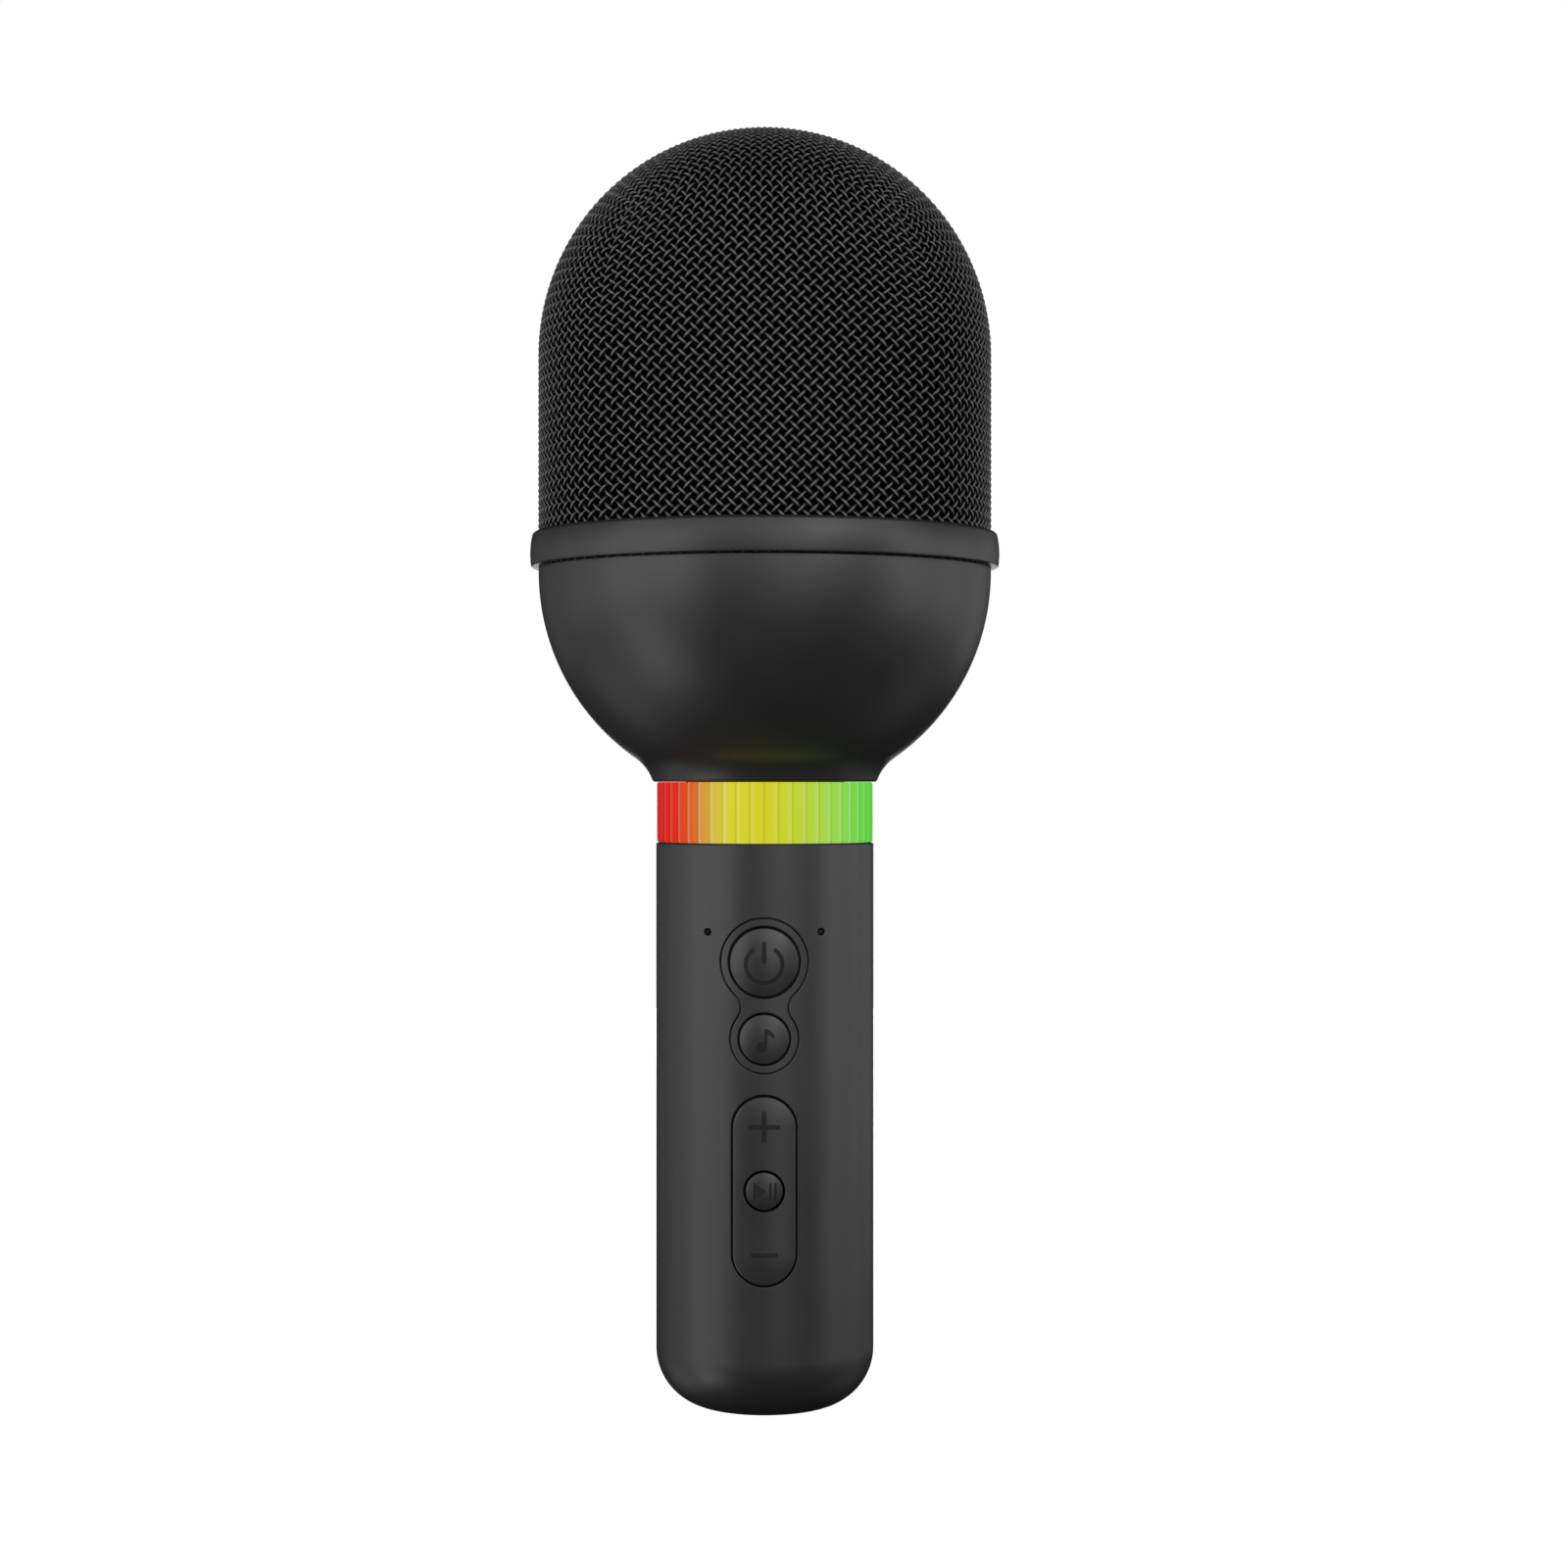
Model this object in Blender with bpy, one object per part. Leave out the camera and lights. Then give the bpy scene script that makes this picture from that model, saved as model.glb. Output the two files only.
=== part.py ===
"""Hand-held karaoke microphone with a loudspeaker in its head.

The microphone stands on its base: the origin is the centre of the base, +Z runs
up the handle to the grille, and the keys face -Y. Every size below is in
millimetres; make_object turns them into metres.
"""

import math

import bmesh
import bpy
from mathutils import Vector

MM = 0.001

# Clearances
GAP = 0.3  # between pieces whose faces aren't parallel
LAYER = 0.2  # between parallel faces that touch on the real object
OVERLAP = 0.5  # how far a boss runs into the piece that it's joined to
SPARE = 1.0  # how far a cutter runs past the piece that it cuts

# Handle
HANDLE_R = 20.0
HANDLE_WALL = 2.0
HANDLE_TOP_Z = 103.5
BASE_FILLET = 10.8
FLOOR_THICK = 3.0
HANDLE_STEPS = 48
CUT_FRONT_Y, CUT_BACK_Y = -25.0, -12.0  # cutters from the front end inside the handle

# Keys on the handle's front
POWER_Z, POWER_HOLE_R, POWER_KEY_R, POWER_FLANGE_R, POWER_STEPS = 82.5, 6.5, 6.1, 7.6, 40
MODE_Z, MODE_HOLE_R, MODE_KEY_R, MODE_FLANGE_R, MODE_STEPS = 68.8, 4.75, 4.43, 5.5, 28
BEZEL_UPPER_R, BEZEL_LOWER_R, BEZEL_WAIST_FILLET = 7.9, 6.2, 3.2
BEZEL_THICK = 0.8
ROCKER_Z, ROCKER_HALF_WIDTH, ROCKER_HALF_HEIGHT = 41.8, 5.875, 17.1
PLAY_HOLE_R, PLAY_KEY_R, PLAY_FLANGE_R, PLAY_STEPS = 3.73, 3.36, 4.3, 28
PLAY_RECESS_R, PLAY_RECESS_Y = 4.9, -16.3  # in the rocker's back
PRESS_POINT = 12.6  # from the rocker's centre to each of its two switches
KEY_PROUD = 0.4
KEY_FLANGE_Y, KEY_BACK_Y, KEY_POST_R = -16.1, -15.1, 2.0
KEYS_LOW_Z, KEYS_TOP_Z, KEYS_BORE_R = 20.0, 95.0, 5.0  # the slice that trims their fronts
ROCKER_FLANGE_Y, ROCKER_BACK_Y, ROCKER_POST_R = -15.9, -15.0, 1.8
ROCKER_FLANGE_SIDE, ROCKER_FLANGE_END = 0.6, 0.8
RIB_R, RIB_HALF_LENGTH = 0.6, 6.3  # the rocker turns on this rib
ROCKER_PIVOT_Y = -16.3
STATUS_X, STATUS_Z, STATUS_HOLE_R, STATUS_PIPE_R = 10.1, 87.8, 0.62, 0.4
STATUS_FRONT_Y = -16.6

# Main board and switches
BOARD_FRONT_Y, BOARD_BACK_Y = -11.0, -9.4
BOARD_HALF_WIDTH, BOARD_LOW_Z, BOARD_TOP_Z = 12.0, 8.0, 91.5
SWITCH_HALF, SWITCH_FRONT_Y = 3.0, -14.0
PLUNGER_R, PLUNGER_FRONT_Y, PLUNGER_BACK_Y = 1.7, -14.6, -13.2
WELL_R, WELL_FLOOR_Y = 2.0, -12.4
BOARD_SCREW_X, BOARD_SCREW_ZS = 10.4, (26.0, 76.0)
BOARD_HOLE_R, CRADLE_HOLE_R, CRADLE_HOLE_BACK_Y = 1.1, 1.05, -2.6
SCREW_HEAD_R, SCREW_HEAD_THICK, SHANK_R, SHANK_BACK_Y = 1.6, 0.9, 0.75, -3.0
CHIP_HALF, CHIP_Z, CHIP_BACK_Y = 3.5, 63.5, -8.0
INDUCTOR_R, INDUCTOR_Z, INDUCTOR_BACK_Y = 3.0, 48.0, -7.6
MODULE_HALF_WIDTH, MODULE_LOW_Z, MODULE_TOP_Z, MODULE_FRONT_Y = 8.0, 10.0, 22.0, -13.2

# Battery, cradle and charging board
CELL_R, CELL_Y, CELL_LOW_Z, CELL_LENGTH = 9.2, 4.5, 24.0, 65.0
CRADLE_HALF_WIDTH, CRADLE_WALL, CRADLE_BACK_Y, CRADLE_FRONT_Y = 11.5, 1.5, 6.0, -7.0
CRADLE_LOW_Z, CRADLE_TOP_Z = 22.2, 91.2
USB_HALF_WIDTH, USB_HALF_THICK, USB_LOW_Z, USB_TOP_Z = 4.47, 1.63, 0.6, 7.9
USB_SKIN, USB_BACK = 0.35, 1.2
TONGUE_HALF_WIDTH, TONGUE_HALF_THICK, TONGUE_SET_BACK = 3.3, 0.35, 0.8
CHARGE_HALF_WIDTH, CHARGE_LOW_Z, CHARGE_TOP_Z, CHARGE_THICK = 8.0, 5.0, 19.0, 1.2

# Neck
SLEEVE_PLUG_R, SLEEVE_TUBE_R, SLEEVE_BORE_R = 17.7, 14.6, 12.6
SLEEVE_LOW_Z, SLEEVE_TOP_Z, SLEEVE_STEP = 92.5, 120.4, 0.8
NUT_LOW_Z, NUT_TOP_Z, NUT_R = 117.0, 119.8, 16.9
NUT_STEPS, NUT_NOTCHES, NUT_NOTCH_SCALE = 32, 8, 0.94
RING_R, RING_BORE_R, RING_LOW_Z, RING_TOP_Z = 19.9, 17.3, 103.7, 114.3
RING_FLUTES, RING_FLUTE_DEPTH = 48, 0.5
LED_BAND_R, LED_COUNT, LED_BAND_INSET, LED_INSET, LED_PROUD = 15.3, 12, 1.1, 2.2, 1.1

# Head bowl
BOWL_R, BOWL_CENTRE_Z, NECK_FILLET = 41.55, 153.0, 8.6
BOWL_LIP_R, BOWL_LIP_Z, BOWL_LIP_BEVEL = 20.7, 114.6, 0.3
BOWL_FLOOR_TOP_Z, BOWL_HOLE_R = 116.7, 15.0
BOWL_WALL = 2.0
BOWL_SHOULDER_Z, BOWL_SEAT_R, BOWL_SEAT_Z = 153.75, 41.2, 153.35
SPIGOT_R, SPIGOT_BORE_R, SPIGOT_TOP_Z = 39.0, 37.2, 157.5
LEDGE_Z, LEDGE_R, LEDGE_THICK, LEDGE_GUSSET = 146.4, 35.8, 1.0, 4.0

# Grille
COLLAR_R, COLLAR_BORE_R, COLLAR_LOW_Z, COLLAR_TOP_Z = 43.1, 41.9, 153.95, 160.2
COLLAR_BARREL_R, COLLAR_BARREL_Z = 16.0, 156.3
COLLAR_TOP_ROUND, COLLAR_LOW_ROUND, COLLAR_LIP, COLLAR_LIP_THICK = 0.8, 0.25, 0.9, 0.6
GRILLE_R, GRILLE_DOME_Z, GRILLE_LOW_Z, GRILLE_SKIN = 41.65, 192.7, 154.85, 0.3
HOOP_R, HOOP_BORE_R, HOOP_LOW_Z, HOOP_TOP_Z = 40.2, 39.3, 154.35, 160.0
FOAM_R, FOAM_THICK, FOAM_LOW_Z = 40.2, 4.0, 160.3

# Speaker, all on the microphone's axis
BAFFLE_LOW_Z, BAFFLE_TOP_Z, BAFFLE_R, BAFFLE_BORE_R = 146.6, 148.7, 36.9, 30.2
FLANGE_R, FLANGE_TOP_Z = 33.6, 150.2
YOKE_LOW_Z, YOKE_TOP_Z, YOKE_R = 123.2, 125.6, 17.0
POLE_R, POLE_TOP_Z = 6.0, 134.5
MAGNET_BORE_R, MAGNET_R, MAGNET_TOP_Z = 9.0, 17.5, 130.6
TOP_PLATE_BORE_R, TOP_PLATE_R, TOP_PLATE_TOP_Z = 8.0, 16.0, 134.0
COIL_BORE_R, COIL_R, COIL_LOW_Z, COIL_TOP_Z = 6.6, 7.1, 129.0, 140.0
BASKET_STEP, BASKET_BORE_R, BASKET_FOOT_R = 0.3, 12.0, 17.0
WINDOW_HALF, WINDOW_LOW_Z, WINDOW_TOP_Z, WINDOW_REACH = 5.0, 137.2, 144.5, 40.0
CONE_NECK_R, CONE_RIM_R, CONE_NECK_Z, CONE_RIM_Z, CONE_PAPER = 7.5, 24.4, 139.5, 148.9, 0.6
CAP_R, CAP_Z, CAP_RISE, CAP_SKIN = 8.6, 141.3, 2.2, 0.4
SPIDER_Z, SPIDER_R, SPIDER_THICK = 136.6, 16.6, 0.5
SURROUND_R, SURROUND_RISE, SURROUND_SKIN, SURROUND_LIP = 28.1, 1.6, 0.4, 0.9
SCREW_CIRCLE_R, SCREW_HOLE_R, BAFFLE_SHANK_R = 31.4, 1.0, 0.7

# Microphone capsule and its bridge
BRIDGE_SPAN_R, BRIDGE_RISE, BRIDGE_THICK, BRIDGE_HALF_WIDTH = 36.2, 37.0, 2.0, 4.0
CAPSULE_R, CAPSULE_LOW_Z, CAPSULE_TOP_Z = 7.0, 188.5, 199.0
BOOT_R, BOOT_TOP_Z = 9.0, 197.0

LEAD_R = 0.5
CAPSULE_LEAD_PASS, CAPSULE_LEAD_PASS_R = (-33.9, -6.4), 1.0

MATERIALS = {}


# ---------------------------------------------------------------- helpers


def clear_scene():
    """Remove whatever the file holds, so that the model stands alone."""
    for item in list(bpy.data.objects):
        bpy.data.objects.remove(item, do_unlink=True)


def material(name, colour, roughness, metallic=0.0):
    """One Principled material for each finish, shared by the pieces made in it."""
    finish = bpy.data.materials.new(name)
    finish.use_nodes = True
    shader = finish.node_tree.nodes["Principled BSDF"]
    shader.inputs["Base Color"].default_value = (*colour, 1.0)
    shader.inputs["Roughness"].default_value = roughness
    shader.inputs["Metallic"].default_value = metallic
    MATERIALS[name] = finish


def make_materials():
    material("satin_black_plastic", (0.022, 0.022, 0.023), 0.45)
    material("black_plastic", (0.03, 0.03, 0.03), 0.6)
    material("white_plastic", (0.75, 0.75, 0.72), 0.5)
    material("ring_plastic", (0.85, 0.8, 0.35), 0.35)
    material("black_wire", (0.03, 0.03, 0.03), 0.4, 0.8)
    material("steel", (0.55, 0.55, 0.56), 0.35, 1.0)
    material("copper", (0.7, 0.35, 0.2), 0.35, 1.0)
    material("ferrite", (0.06, 0.06, 0.065), 0.55)
    material("paper_cone", (0.05, 0.048, 0.045), 0.8)
    material("black_foam", (0.015, 0.015, 0.015), 0.95)
    material("black_rubber", (0.02, 0.02, 0.02), 0.8)
    material("board_green", (0.02, 0.14, 0.05), 0.4)
    material("cell_wrap", (0.05, 0.16, 0.4), 0.35)


def make_object(name, bm, finish):
    """Turn a bmesh in millimetres into an object in metres, with faces pointing out."""
    bmesh.ops.remove_doubles(bm, verts=bm.verts, dist=1e-4)
    bmesh.ops.scale(bm, vec=Vector((MM, MM, MM)), verts=bm.verts)
    bmesh.ops.recalc_face_normals(bm, faces=bm.faces)
    mesh = bpy.data.meshes.new(name)
    bm.to_mesh(mesh)
    bm.free()
    mesh.shade_smooth()
    mesh.set_sharp_from_angle(angle=math.radians(35))
    piece = bpy.data.objects.new(name, mesh)
    bpy.context.collection.objects.link(piece)
    if finish:
        mesh.materials.append(MATERIALS[finish])
    else:
        piece.hide_render = True
        piece.display_type = "WIRE"
    return piece


def turned_mesh(outline, steps):
    """Spin an outline of (radius, height) points about Z.

    An outline that starts and ends on the axis stays open; any other is closed.
    """
    bm = bmesh.new()
    ring = [bm.verts.new((r, 0.0, z)) for r, z in outline]
    on_axis = outline[0][0] == 0 and outline[-1][0] == 0
    pairs = list(zip(ring, ring[1:]))
    if not on_axis:
        pairs.append((ring[-1], ring[0]))
    edges = [bm.edges.new(pair) for pair in pairs]
    bmesh.ops.spin(
        bm, geom=ring + edges, cent=(0, 0, 0), axis=(0, 0, 1),
        angle=math.tau, steps=steps, use_merge=True,
    )
    return bm


def turned(name, outline, finish, steps=24):
    return make_object(name, turned_mesh(outline, steps), finish)


def ring(name, bore_r, outer_r, low_z, top_z, finish, steps=24):
    """A plain washer or tube."""
    outline = [(bore_r, low_z), (outer_r, low_z), (outer_r, top_z), (bore_r, top_z)]
    return turned(name, outline, finish, steps)


def box(name, low, high, finish):
    bm = bmesh.new()
    bmesh.ops.create_cube(bm, size=1.0)
    size = [b - a for a, b in zip(low, high)]
    middle = [(a + b) / 2 for a, b in zip(low, high)]
    bmesh.ops.scale(bm, vec=Vector(size), verts=bm.verts)
    bmesh.ops.translate(bm, vec=Vector(middle), verts=bm.verts)
    return make_object(name, bm, finish)


PLACE_ALONG = {
    "X": lambda a, b, d: (d, a, b),
    "Y": lambda a, b, d: (a, d, b),
    "Z": lambda a, b, d: (a, b, d),
}


def prism(name, outline, axis, low, high, finish):
    """Extrude a flat outline along X, Y or Z, from low to high."""
    bm = bmesh.new()
    place = PLACE_ALONG[axis]
    cap = bm.faces.new([bm.verts.new(place(a, b, low)) for a, b in outline])
    grown = bmesh.ops.extrude_face_region(bm, geom=[cap], use_keep_orig=True)
    moved = [v for v in grown["geom"] if isinstance(v, bmesh.types.BMVert)]
    bmesh.ops.translate(bm, vec=Vector(place(0, 0, high - low)), verts=moved)
    return make_object(name, bm, finish)


def arc(centre, radius, start_deg, end_deg, steps):
    """Points along a circle's arc, both ends included."""
    turns = [start_deg + (end_deg - start_deg) * i / steps for i in range(steps + 1)]
    return [
        (centre[0] + radius * math.cos(math.radians(t)),
         centre[1] + radius * math.sin(math.radians(t)))
        for t in turns
    ]


def circle(centre, radius, steps):
    return arc(centre, radius, 0, 360, steps)[:-1]


def pill(centre, half_width, half_height, steps=12):
    """An upright slot outline with round ends."""
    x, z = centre
    straight = half_height - half_width
    return (
        arc((x, z + straight), half_width, 0, 180, steps)
        + arc((x, z - straight), half_width, 180, 360, steps)
    )


def rounded_bar(half_width, half_thick, steps=6):
    """A flat slot outline with round ends, centred on the axis."""
    straight = half_width - half_thick
    return (
        arc((straight, 0), half_thick, -90, 90, steps)
        + arc((-straight, 0), half_thick, 90, 270, steps)
    )


def apply_cut(piece, tool, operation="DIFFERENCE"):
    cut = piece.modifiers.new(f"{operation.title()} {tool.name}", "BOOLEAN")
    cut.operation = operation
    cut.object = tool
    return piece


def bore(name, centre, radius, axis, low, high, steps=24):
    """A round cutter along an axis."""
    return prism(name, circle(centre, radius, steps), axis, low, high, None)


def moving(name, at, pieces):
    """Hang pieces on an empty that stands on their joint's axis."""
    pivot = bpy.data.objects.new(name, None)
    pivot.location = Vector(at) * MM
    bpy.context.collection.objects.link(pivot)
    for piece in pieces:
        piece.parent = pivot
        piece.location = -pivot.location
    return pivot


def smooth_route(points, spacing):
    """Points at an even spacing along a Catmull-Rom curve through the given ones."""
    knots = [Vector(p) for p in points]
    knots = [2 * knots[0] - knots[1]] + knots + [2 * knots[-1] - knots[-2]]
    fine = []
    for a, b, c, d in zip(knots, knots[1:], knots[2:], knots[3:]):
        for i in range(20):
            t = i / 20
            fine.append(
                0.5 * (2 * b + (c - a) * t + (2 * a - 5 * b + 4 * c - d) * t**2
                       + (3 * b - a - 3 * c + d) * t**3)
            )
    fine.append(knots[-2])
    route = [fine[0]]
    for point in fine[1:-1]:
        far_from_last = (point - route[-1]).length >= spacing
        far_from_end = (point - fine[-1]).length >= spacing / 2
        if far_from_last and far_from_end:
            route.append(point)
    return route + [fine[-1]]


def lead(name, points, finish):
    """A round insulated lead along a smooth route."""
    route = smooth_route(points, 4.5)
    curve = bpy.data.curves.new(name, "CURVE")
    curve.dimensions = "3D"
    curve.bevel_depth = LEAD_R * MM
    curve.bevel_resolution = 2
    curve.use_fill_caps = True
    spline = curve.splines.new("POLY")
    spline.points.add(len(route) - 1)
    for point, place in zip(spline.points, route):
        point.co = (*(place * MM), 1.0)
    curve.materials.append(MATERIALS[finish])
    piece = bpy.data.objects.new(name, curve)
    bpy.context.collection.objects.link(piece)
    return piece


# ---------------------------------------------------------------- handle


def figure_eight(inset):
    """Outline round the two upper keys: two circles joined by concave fillets."""
    upper_r = BEZEL_UPPER_R - inset
    lower_r = BEZEL_LOWER_R - inset
    fillet = BEZEL_WAIST_FILLET + inset
    apart = POWER_Z - MODE_Z
    to_upper = upper_r + fillet
    to_lower = lower_r + fillet
    drop = (to_upper**2 - to_lower**2 + apart**2) / (2 * apart)
    side = math.sqrt(to_upper**2 - drop**2)
    upper_deg = math.degrees(math.atan2(-drop, side))
    lower_deg = math.degrees(math.atan2(apart - drop, side))
    waist_z = POWER_Z - drop
    return (
        arc((0, POWER_Z), upper_r, upper_deg, 180 - upper_deg, 24)
        + arc((-side, waist_z), fillet, -upper_deg, -lower_deg, 5)[1:-1]
        + arc((0, MODE_Z), lower_r, 180 - lower_deg, 360 + lower_deg, 21)
        + arc((side, waist_z), fillet, 180 + lower_deg, 180 + upper_deg, 5)[1:-1]
    )


def bezel_slice(name, bore_r, outer_r, inset, finish):
    """The part of a tube about the handle's axis that lies behind the figure of eight."""
    low_z = MODE_Z - BEZEL_LOWER_R - SPARE
    top_z = POWER_Z + BEZEL_UPPER_R + SPARE
    band = ring(name, bore_r, outer_r, low_z, top_z, finish, HANDLE_STEPS)
    edge = prism(f"cut_{name}_edge", figure_eight(inset), "Y", CUT_FRONT_Y, CUT_BACK_Y, None)
    return apply_cut(band, edge, "INTERSECT")


def handle_shell():
    inner_r = HANDLE_R - HANDLE_WALL
    inner_fillet = BASE_FILLET - HANDLE_WALL
    flat_r = HANDLE_R - BASE_FILLET
    outline = (
        [(0, FLOOR_THICK)]
        + arc((flat_r, FLOOR_THICK + inner_fillet), inner_fillet, -90, 0, 3)
        + [(inner_r, HANDLE_TOP_Z), (HANDLE_R, HANDLE_TOP_Z)]
        + arc((flat_r, BASE_FILLET), BASE_FILLET, 0, -90, 5)
        + [(0, 0)]
    )
    shell = turned("handle_shell", outline, "satin_black_plastic", HANDLE_STEPS)
    pocket_floor_r = HANDLE_R - BEZEL_THICK - LAYER
    apply_cut(shell, bezel_slice("cut_bezel", pocket_floor_r, HANDLE_R + SPARE, 0, None))
    apply_cut(shell, front_bore("cut_power", (0, POWER_Z), POWER_HOLE_R, POWER_STEPS))
    apply_cut(shell, front_bore("cut_mode", (0, MODE_Z), MODE_HOLE_R, MODE_STEPS))
    rocker_edge = pill((0, ROCKER_Z), ROCKER_HALF_WIDTH, ROCKER_HALF_HEIGHT)
    apply_cut(shell, prism("cut_rocker", rocker_edge, "Y", CUT_FRONT_Y, CUT_BACK_Y, None))
    for side, x in (("left", -STATUS_X), ("right", STATUS_X)):
        apply_cut(shell, front_bore(f"cut_status_{side}", (x, STATUS_Z), STATUS_HOLE_R, 12))
    slot = rounded_bar(USB_HALF_WIDTH + GAP, USB_HALF_THICK + GAP)
    apply_cut(shell, prism("cut_usb", slot, "Z", -SPARE, FLOOR_THICK + SPARE, None))
    return shell


def front_bore(name, centre, radius, steps):
    """A round cutter that goes through the front wall and whatever lies behind it."""
    return bore(name, centre, radius, "Y", CUT_FRONT_Y, CUT_BACK_Y, steps)


def key_bezel():
    plate = bezel_slice(
        "key_bezel", HANDLE_R - BEZEL_THICK, HANDLE_R, LAYER, "satin_black_plastic"
    )
    apply_cut(plate, front_bore("cut_bezel_power", (0, POWER_Z), POWER_HOLE_R, POWER_STEPS))
    return apply_cut(plate, front_bore("cut_bezel_mode", (0, MODE_Z), MODE_HOLE_R, MODE_STEPS))


def key_face(name):
    """A tube slice that trims a key's front to the handle's curve, a little proud."""
    face_r = HANDLE_R + KEY_PROUD
    return ring(f"cut_{name}_face", KEYS_BORE_R, face_r, KEYS_LOW_Z, KEYS_TOP_Z, None, HANDLE_STEPS)


def key_post(name, z, radius, root_y):
    """The boss on a key's back that rests on its switch."""
    return bore(name, (0, z), radius, "Y", root_y - OVERLAP, PLUNGER_FRONT_Y - LAYER, 12)


def round_key(name, z, radius, flange_r, flange_y, steps):
    """A round key: a cap that comes out of the wall and a wider flange behind it."""
    edge = circle((0, z), radius, steps)
    key = prism(name, edge, "Y", CUT_FRONT_Y, KEY_BACK_Y, "satin_black_plastic")
    apply_cut(key, key_face(name), "INTERSECT")
    flange = bore(f"cut_{name}_flange", (0, z), flange_r, "Y", flange_y, KEY_BACK_Y, steps)
    apply_cut(key, flange, "UNION")
    return apply_cut(key, key_post(f"cut_{name}_post", z, KEY_POST_R, KEY_BACK_Y), "UNION")


def volume_rocker():
    """A rocking plate with a hole for the play key and two posts for its switches."""
    centre = (0, ROCKER_Z)
    cap_edge = pill(centre, ROCKER_HALF_WIDTH - GAP, ROCKER_HALF_HEIGHT - GAP)
    rocker = prism(
        "volume_rocker", cap_edge, "Y", CUT_FRONT_Y, ROCKER_BACK_Y, "satin_black_plastic"
    )
    apply_cut(rocker, key_face("rocker"), "INTERSECT")
    flange_edge = pill(
        centre, ROCKER_HALF_WIDTH + ROCKER_FLANGE_SIDE, ROCKER_HALF_HEIGHT + ROCKER_FLANGE_END
    )
    flange = prism("cut_flange", flange_edge, "Y", ROCKER_FLANGE_Y, ROCKER_BACK_Y, None)
    apply_cut(rocker, flange, "UNION")
    rib_centre = (ROCKER_FLANGE_Y, ROCKER_Z)
    rib = bore("cut_rib", rib_centre, RIB_R, "X", -RIB_HALF_LENGTH, RIB_HALF_LENGTH, 10)
    apply_cut(rocker, rib, "UNION")
    for name, side in (("plus", 1), ("minus", -1)):
        z = ROCKER_Z + side * PRESS_POINT
        post = key_post(f"cut_{name}_post", z, ROCKER_POST_R, ROCKER_BACK_Y)
        apply_cut(rocker, post, "UNION")
    apply_cut(rocker, front_bore("cut_play_hole", centre, PLAY_HOLE_R, PLAY_STEPS))
    recess = bore(
        "cut_play_recess", centre, PLAY_RECESS_R, "Y", PLAY_RECESS_Y, CUT_BACK_Y, PLAY_STEPS
    )
    return apply_cut(rocker, recess)


def status_pipes():
    for side, x in (("left", -STATUS_X), ("right", STATUS_X)):
        edge = circle((x, STATUS_Z), STATUS_PIPE_R, 10)
        back_y = BOARD_FRONT_Y - LAYER
        prism(f"status_light_{side}", edge, "Y", STATUS_FRONT_Y, back_y, "white_plastic")


# ---------------------------------------------------------------- electronics


def tact_switch(name, z):
    """A switch body with a round well, and the plunger that travels in it."""
    low = (-SWITCH_HALF, SWITCH_FRONT_Y, z - SWITCH_HALF)
    high = (SWITCH_HALF, BOARD_FRONT_Y - LAYER, z + SWITCH_HALF)
    body = box(f"{name}_switch", low, high, "black_plastic")
    well = bore(f"cut_{name}_well", (0, z), WELL_R, "Y", CUT_FRONT_Y, WELL_FLOOR_Y, 16)
    apply_cut(body, well)
    edge = circle((0, z), PLUNGER_R, 16)
    return prism(
        f"{name}_plunger", edge, "Y", PLUNGER_FRONT_Y, PLUNGER_BACK_Y, "white_plastic"
    )


def main_board():
    low = (-BOARD_HALF_WIDTH, BOARD_FRONT_Y, BOARD_LOW_Z)
    high = (BOARD_HALF_WIDTH, BOARD_BACK_Y, BOARD_TOP_Z)
    board = box("main_board", low, high, "board_green")
    for i, (x, z) in enumerate(board_screw_places(), 1):
        hole = bore(
            f"cut_board_hole_{i}", (x, z), BOARD_HOLE_R, "Y",
            BOARD_FRONT_Y - SPARE, BOARD_BACK_Y + SPARE, 12,
        )
        apply_cut(board, hole)
        board_screw(f"board_screw_{i}", x, z)
    chip_front_y = BOARD_BACK_Y + LAYER
    low = (-CHIP_HALF, chip_front_y, CHIP_Z - CHIP_HALF)
    high = (CHIP_HALF, CHIP_BACK_Y, CHIP_Z + CHIP_HALF)
    box("amplifier_chip", low, high, "black_plastic")
    coil_edge = circle((0, INDUCTOR_Z), INDUCTOR_R, 16)
    prism("inductor", coil_edge, "Y", chip_front_y, INDUCTOR_BACK_Y, "ferrite")
    low = (-MODULE_HALF_WIDTH, MODULE_FRONT_Y, MODULE_LOW_Z)
    high = (MODULE_HALF_WIDTH, BOARD_FRONT_Y - LAYER, MODULE_TOP_Z)
    box("bluetooth_module", low, high, "steel")


def board_screw_places():
    """The two screws, on opposite corners of the board."""
    return [(-BOARD_SCREW_X, BOARD_SCREW_ZS[0]), (BOARD_SCREW_X, BOARD_SCREW_ZS[1])]


def board_screw(name, x, z):
    """A pan-head screw from the board's front into the cradle's side wall."""
    head_back_y = BOARD_FRONT_Y - LAYER
    head_edge = circle((x, z), SCREW_HEAD_R, 12)
    screw = prism(name, head_edge, "Y", head_back_y - SCREW_HEAD_THICK, head_back_y, "steel")
    shank_front_y = head_back_y - SCREW_HEAD_THICK / 2
    shank = bore(f"cut_{name}_shank", (x, z), SHANK_R, "Y", shank_front_y, SHANK_BACK_Y, 12)
    return apply_cut(screw, shank, "UNION")


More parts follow.
